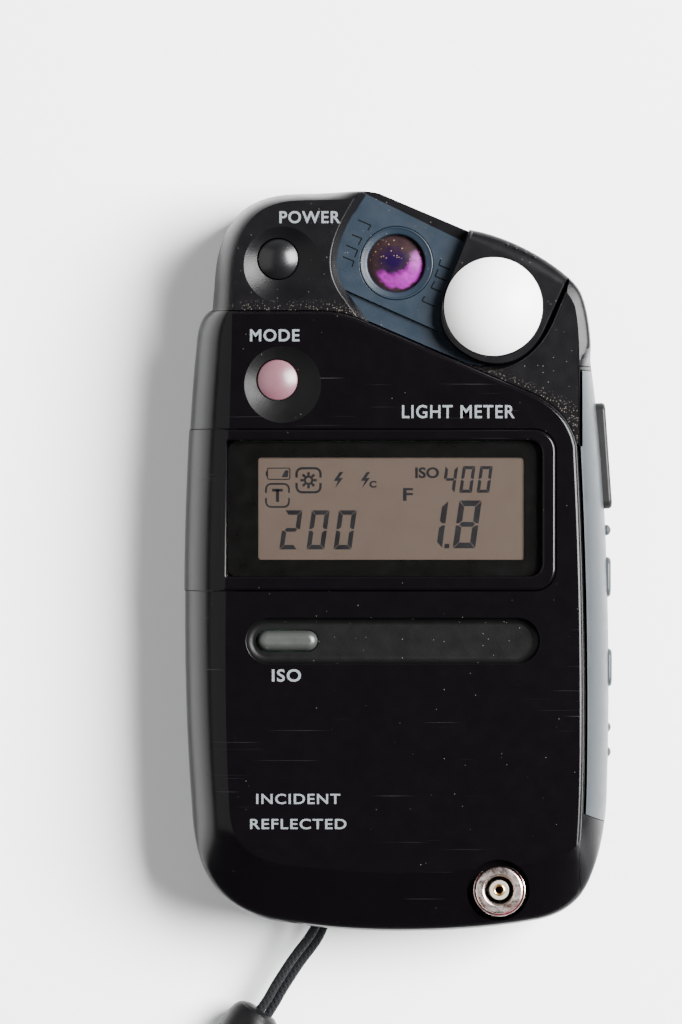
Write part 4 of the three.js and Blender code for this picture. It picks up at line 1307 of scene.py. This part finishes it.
def make_printing():
    """Generic words only: what a button does, what the object is, and how it reads the light."""
    for name, words, centre, size, z, slot, weight, width in (
        ("print_power", "POWER", (-12.9, 50.93), 2.45, HEAD_Z, "case_satin", 0.05, 9.0),
        ("print_mode", "MODE", (-18.07, 33.45), 2.45, FACE_Z, "case_gloss", 0.05, 7.3),
        ("print_iso", "ISO", (-16.34, -16.7), 2.5, FACE_Z, "case_gloss", 0.05, 4.3),
        ("print_title", "LIGHT METER", (9.0, 22.2), 2.7, FACE_Z, "case_gloss", 0.04, 16.6),
        ("print_incident", "INCIDENT", (-14.6, -34.9), 2.1, FACE_Z, "case_gloss", 0.03, 12.4),
        ("print_reflected", "REFLECTED", (-14.6, -38.6), 2.1, FACE_Z, "case_gloss", 0.03, 14.2),
    ):
        lettering(name, words, centre, size, z + 0.006, PRINT, weight, 1.12, width=width)


make_printing()


# ---- Buttons ----

def make_round_button(name, body, centre, top, low, finish):
    profile = [(0, low), (2.4, low), (2.98, low + 0.4)]
    for k in range(7):
        turn = math.radians(50) * k / 6
        profile.append((2.65 + 0.35 * math.cos(turn), top - 1.1 + 0.35 * math.sin(turn)))
    profile += arc_profile(2.87, top - 0.825, top, 14) + [(0, top)]
    settle(lathe(name + "_cap", profile, centre), body, finish, [name])


def make_side_key(name, key, finish):
    outline = rounded_rectangle(key["size"][0], key["size"][1], 1.35, 8)
    rows = rounded_rows(outline, 0, 3.4, 0.55, 0.1, 6)
    inner = offset(outline, 0.55)
    crown = [(x * 0.55, y * 0.55) for x, y in inner]
    rows.append(at_height(crown, 3.43))
    cap = loft(name + "_cap", rows)
    flange = prism("flange", rounded_rectangle(key["size"][0] - 1.4, key["size"][1] - 1.2, 0.8), -1.4, 0.2)
    carve(cap, flange, "UNION")
    place(cap, shift(key["out"] - 3.4, *key["at"]) @ spin(key["tilt"]) @ SIDEWAYS)
    settle(cap, key["body"], finish, [name])


def make_buttons():
    make_round_button("power_button", "power", POWER, 18.75, 14.4, DISH_BLACK)
    make_round_button("mode_button", "mode", MODE, 19.9, 18.4, MAUVE)
    iso = prism("iso_button_cap", capsule(8.9, 3, ISO), 18.4, 19.85, 1.15, 0.1)
    settle(iso, "iso", ISO_GREY, ["iso_button"])
    make_side_key("measuring_button", SIDE_KEYS["measuring_button"], KEY_GREY)
    make_side_key("up_key", SIDE_KEYS["up_key"], STRIP_GREY)
    make_side_key("down_key", SIDE_KEYS["down_key"], STRIP_GREY)


make_buttons()


# ---- Sensor head ----

PANEL_TOP = 16.3
MARKS = (
    ((-5.77, 50.67), (-3.87, 49.83), (-4.49, 48.85)),
    ((-6.68, 48.48), (-5.22, 47.90), (-5.95, 46.55)),
    ((-7.52, 46.91), (-5.84, 46.18), (-6.43, 44.72)),
    ((-8.03, 45.20), (-6.39, 44.54), (-6.76, 43.37)),
)


def make_panel():
    panel = prism("slate_plate", channel_outline(), 15, PANEL_TOP, 0.08)
    carve(panel, case_form(HEAD_Z, 0.12, 8), "INTERSECT")
    cut(panel, display_outline(0.35), 0)
    beyond = prism("cut", box_outline(-20, 0, 60, 20), 10, FAR)
    place(beyond, shift(-4.6, 54.5) @ spin(math.radians(-26.1)))
    carve(panel, beyond)
    groove = prism("cut", box_outline(-6, -4.2, 40, 0), 15.6, FAR)
    place(groove, shift(-7.4, 40.2) @ spin(CHANNEL_TURN))
    carve(panel, groove)
    carve(panel, flared_cutter(circle(5.48, LENS_AT, 96), 10, PANEL_TOP, 0, 0.08))
    settle(panel, "case", SLATE, ["lens_panel"])
    # The engraved marks are flat dark strips laid on the panel: their darkness is painted shade of the
    # grooves.
    bars = []
    for mark in MARKS:
        for points in (mark, tuple((2 * LENS_AT[0] - x, 2 * LENS_AT[1] - y) for x, y in mark)):
            foot = tuple(b + 0.72 * (c - b) for b, c in zip(points[1], points[2]))
            bars += [bar_between(points[0], points[1], 0.2), bar_between(points[1], foot, 0.2)]
    marks = flat_shapes("panel_marks_painted_shade", bars, PANEL_TOP - 0.02, PANEL_TOP + 0.008)
    settle(marks, "case", ENGRAVING_SHADE_PAINT, soft_edges=False)


def make_lens():
    ring_profile = [
        (4.24, 14.6), (5.35, 14.6), (5.42, 14.7), (5.42, 16.28), (5.38, 16.34), (5.32, 16.37), (5.25, 16.38),
        (5.18, 16.36), (5.1, 16.3), (4.9, 16.24), (4.6, 16.2), (4.42, 16.14), (4.32, 16.04), (4.26, 15.9),
        (4.24, 15.6),
    ]
    settle(lathe("lens_bezel", ring_profile, LENS_AT, 96), "case", SLATE, ["lens_ring"])
    profile = [(0, 14.3), (3.6, 14.3), (3.6, 14.9), (LENS_RADIUS, 14.95)]
    profile += arc_profile(LENS_RADIUS, 15.1, 16.15, 16) + [(0, 16.15)]
    settle(lathe("lens_with_painted_reflections", profile, LENS_AT, 96), "case", LENS, ["reflected_lens"])


CARRIAGE_TOP = 18.5
CARRIAGE_CORNER = (10.66, 49.2)
CARRIAGE_END = (25.35, 42.1)


def carriage_outline():
    line = [CARRIAGE_CORNER]
    line += bezier((CARRIAGE_CORNER, (6.9, 40)), 6)
    line += bezier(((6.9, 40), (5.2, 35.5), (6.8, 31.6), (12, 29.6)), 24)
    line += bezier(((12, 29.6), (16.5, 28), (20.3, 30.5), (22, 34.6)), 24)
    line += bezier(((22, 34.6), CARRIAGE_END), 6)
    line += bezier((CARRIAGE_END, (22.3, 44.9), (16.3, 48.3), CARRIAGE_CORNER), 24)[:-1]
    return line


def rolled_stock():
    """Stock whose top rolls over, rising from the carriage's outer edge to its flat top."""
    levels, low, roll_low = 10, 16.6, 16.85
    roll_depth, least_depth, side_inset = 2.1, 0.35, 0.3
    way_x, way_y = -0.4221, -0.9065
    edge = carriage_outline()
    first = len(edge) - 24
    rows = [at_height(edge, low), at_height(edge, roll_low)]
    for across, left in quarter_round(levels)[1:]:
        row = []
        for i, (x, y) in enumerate(offset(edge, side_inset * across)):
            along = min(1, max(0, (i - first + 1) / 25))
            share = math.sin(math.pi * along) ** 0.5 if along > 0 else 0
            depth = least_depth + (1 - least_depth) * share if along > 0 else 0
            reach = roll_depth * across * depth
            row.append((x + way_x * reach, y + way_y * reach))
        rows.append(at_height(row, roll_low + (CARRIAGE_TOP - roll_low) * (1 - left)))
    return loft("carriage_plate", rows)


def make_carriage():
    carriage = rolled_stock()
    bump_profile = [(0, -0.3), (0.3, -0.2)] + arc_profile(0.3, 0, 0.24, 8) + [(0, 0.24)]
    for x, y in ((16.25, 46.9), (17.5, 46.4), (18.9, 45.75), (20.25, 45.05)):
        bump = lathe("grip", bump_profile, steps=32)
        place(bump, shift(x, y, 18.0) @ spin(math.radians(-40), "X"))
        carve(carriage, bump, "UNION")
    carve(carriage, flared_cutter(circle(7.38, DOME_AT, 96), 18.2, CARRIAGE_TOP, 0, 0.15))
    cut(carriage, circle(6.1, DOME_AT))
    foot = prism("foot", box_outline(-3, -0.45, 3, 0.45), 15.9, 17, low_round=0.1)
    place(foot, shift(11.5, 30.95) @ spin(CHANNEL_TURN))
    carve(foot, prism("trim", carriage_outline(), 10, 30), "INTERSECT")
    carve(carriage, foot, "UNION")
    settle(carriage, "carriage", SATIN_BLACK, ["slider_carriage"])


def make_dome():
    rim, spigot, base, top = 7.27, 4.9, 18.7, 22.2
    outer = arc_profile(rim, base, top, 20)
    inner_rim = 7.4
    inner = [(r * spigot / inner_rim, z - SKIN) for r, z in reversed(arc_profile(inner_rim, base, top))]
    seat = [(spigot, 17), (6, 17), (6, 18.25), (rim, 18.25)]
    dome = lathe("white_dome", [(0, top - SKIN)] + inner + seat + outer + [(0, top)], DOME_AT, 96)
    settle(dome, "carriage", DOME, ["lumisphere"])


make_panel()
make_lens()
make_carriage()
make_dome()


# ---- Sync terminal ----

SLEEVE = (
    (2.1, 10.4), (2.6, 10.4), (2.6, 12.0), (3.4, 12.0), (3.5, 12.1), (3.5, 18.05), (3.42, 18.22),
    (3.25, 18.3), (2.45, 18.3), (2.3, 18.25), (2.16, 18.12), (2.1, 17.95),
)
RED_RING = ((3.5, 12), (3.69, 12), (3.69, 17.6), (3.65, 17.68), (3.55, 17.68), (3.5, 17.6))
COLLAR = ((3.7, 12), (3.86, 12), (3.86, 17.85), (3.83, 17.92), (3.76, 17.95), (3.7, 17.9))
CORE = (
    (0.9, 10.6), (1.8, 10.6), (1.8, 11.2), (1.46, 11.2), (1.46, 17.42), (1.42, 17.52),
    (1.32, 17.56), (0.9, 17.56),
)
CENTRE_CONTACT = (
    (0.5, 9.6), (0.88, 9.6), (0.88, 17.52), (0.84, 17.6), (0.74, 17.64), (0.62, 17.58),
    (0.54, 17.45), (0.5, 17.2),
)
SOCKET_FLOOR = ((0, 10.2), (2.05, 10.2), (2.05, 10.5), (0, 10.5))


def make_sync():
    for name, profile, steps, finish, slot, stands_for in (
        ("sync_barrel", SLEEVE, 96, NICKEL, "nickel", ["sync_sleeve"]),
        ("sync_red_ring", RED_RING, 96, RED, "red_ring", ["sync_gasket"]),
        ("sync_collar", COLLAR, 96, NICKEL, "nickel", []),
        ("sync_core", CORE, 64, CREAM, "insulator", ["sync_insulator"]),
        ("sync_centre_contact", CENTRE_CONTACT, 48, GOLD, "gold", ["sync_contact"]),
        ("sync_floor", SOCKET_FLOOR, 48, MASK, "mask", []),
    ):
        settle(lathe(name, profile, SYNC, steps), "case", finish, stands_for)


make_sync()


# ---- Screws in the back ----

SCREW_PROFILE = (
    (0, 0.55), (1.5, 0.55), (1.68, 0.62), (1.75, 0.8), (1.75, 1.8), (0.85, 1.8), (0.85, 12.8), (0, 13.4),
)


def make_screws():
    for index, (x, y) in enumerate(SCREWS):
        screw = lathe(f"screw_{index + 1}", SCREW_PROFILE, (x, y), 48)
        turn = rng.uniform(0, math.pi / 2)
        for quarter in (0, math.pi / 2):
            slot_cut = prism("cut", rounded_rectangle(2.0, 0.42, 0.1, 3), -1, 1.15)
            place(slot_cut, shift(x, y) @ spin(turn + quarter))
            carve(screw, slot_cut)
        settle(screw, "case", STEEL, [f"case_screw_{index + 1}"])


make_screws()


# ---- Studio ----

def make_floor():
    half = 3000
    corners = at_height(box_outline(-half, -half, half, half), 0)
    floor = mesh_from("floor", corners, [(0, 1, 2, 3)])
    n = Nodes("floor_paper")
    n.surface(Base_Color=(0.94, 0.94, 0.95, 1), Roughness=0.9)
    floor.data.materials.append(n.material)


def make_light(name, location, size, power):
    """An area light, in metres and watts, that points at the object."""
    data = bpy.data.lights.new(name, "AREA")
    data.shape = "RECTANGLE"
    data.size, data.size_y = size
    data.energy = power
    light = new_object(name, data)
    light.location = location
    light.rotation_euler = (-Vector(location)).to_track_quat("-Z", "Y").to_euler()


def make_world():
    """Even surroundings that are brighter at the horizon than overhead."""
    world = bpy.data.worlds.new("studio")
    world.use_nodes = True
    tree = world.node_tree
    place_of = tree.nodes.new("ShaderNodeTexCoord")
    split = tree.nodes.new("ShaderNodeSeparateXYZ")
    ramp = tree.nodes.new("ShaderNodeValToRGB")
    background = tree.nodes["Background"]
    background.inputs["Strength"].default_value = 1.0
    levels = ((0.0, (0.20, 0.20, 0.205, 1)), (0.92, (0.035, 0.035, 0.038, 1)))
    for element, (position, color) in zip(ramp.color_ramp.elements, levels):
        element.position = position
        element.color = color
    tree.links.new(place_of.outputs["Generated"], split.inputs[0])
    tree.links.new(split.outputs["Z"], ramp.inputs[0])
    tree.links.new(ramp.outputs[0], background.inputs["Color"])
    scene.world = world


make_floor()
make_world()
make_light("window_light", (0.95, 0.25, 0.95), (0.8, 0.8), 150)
make_light("fill_light", (-1.0, 0.1, 0.85), (1.6, 1.6), 13)
make_light("back_light", (-0.2, 1.1, 0.6), (1.2, 0.4), 1.5)
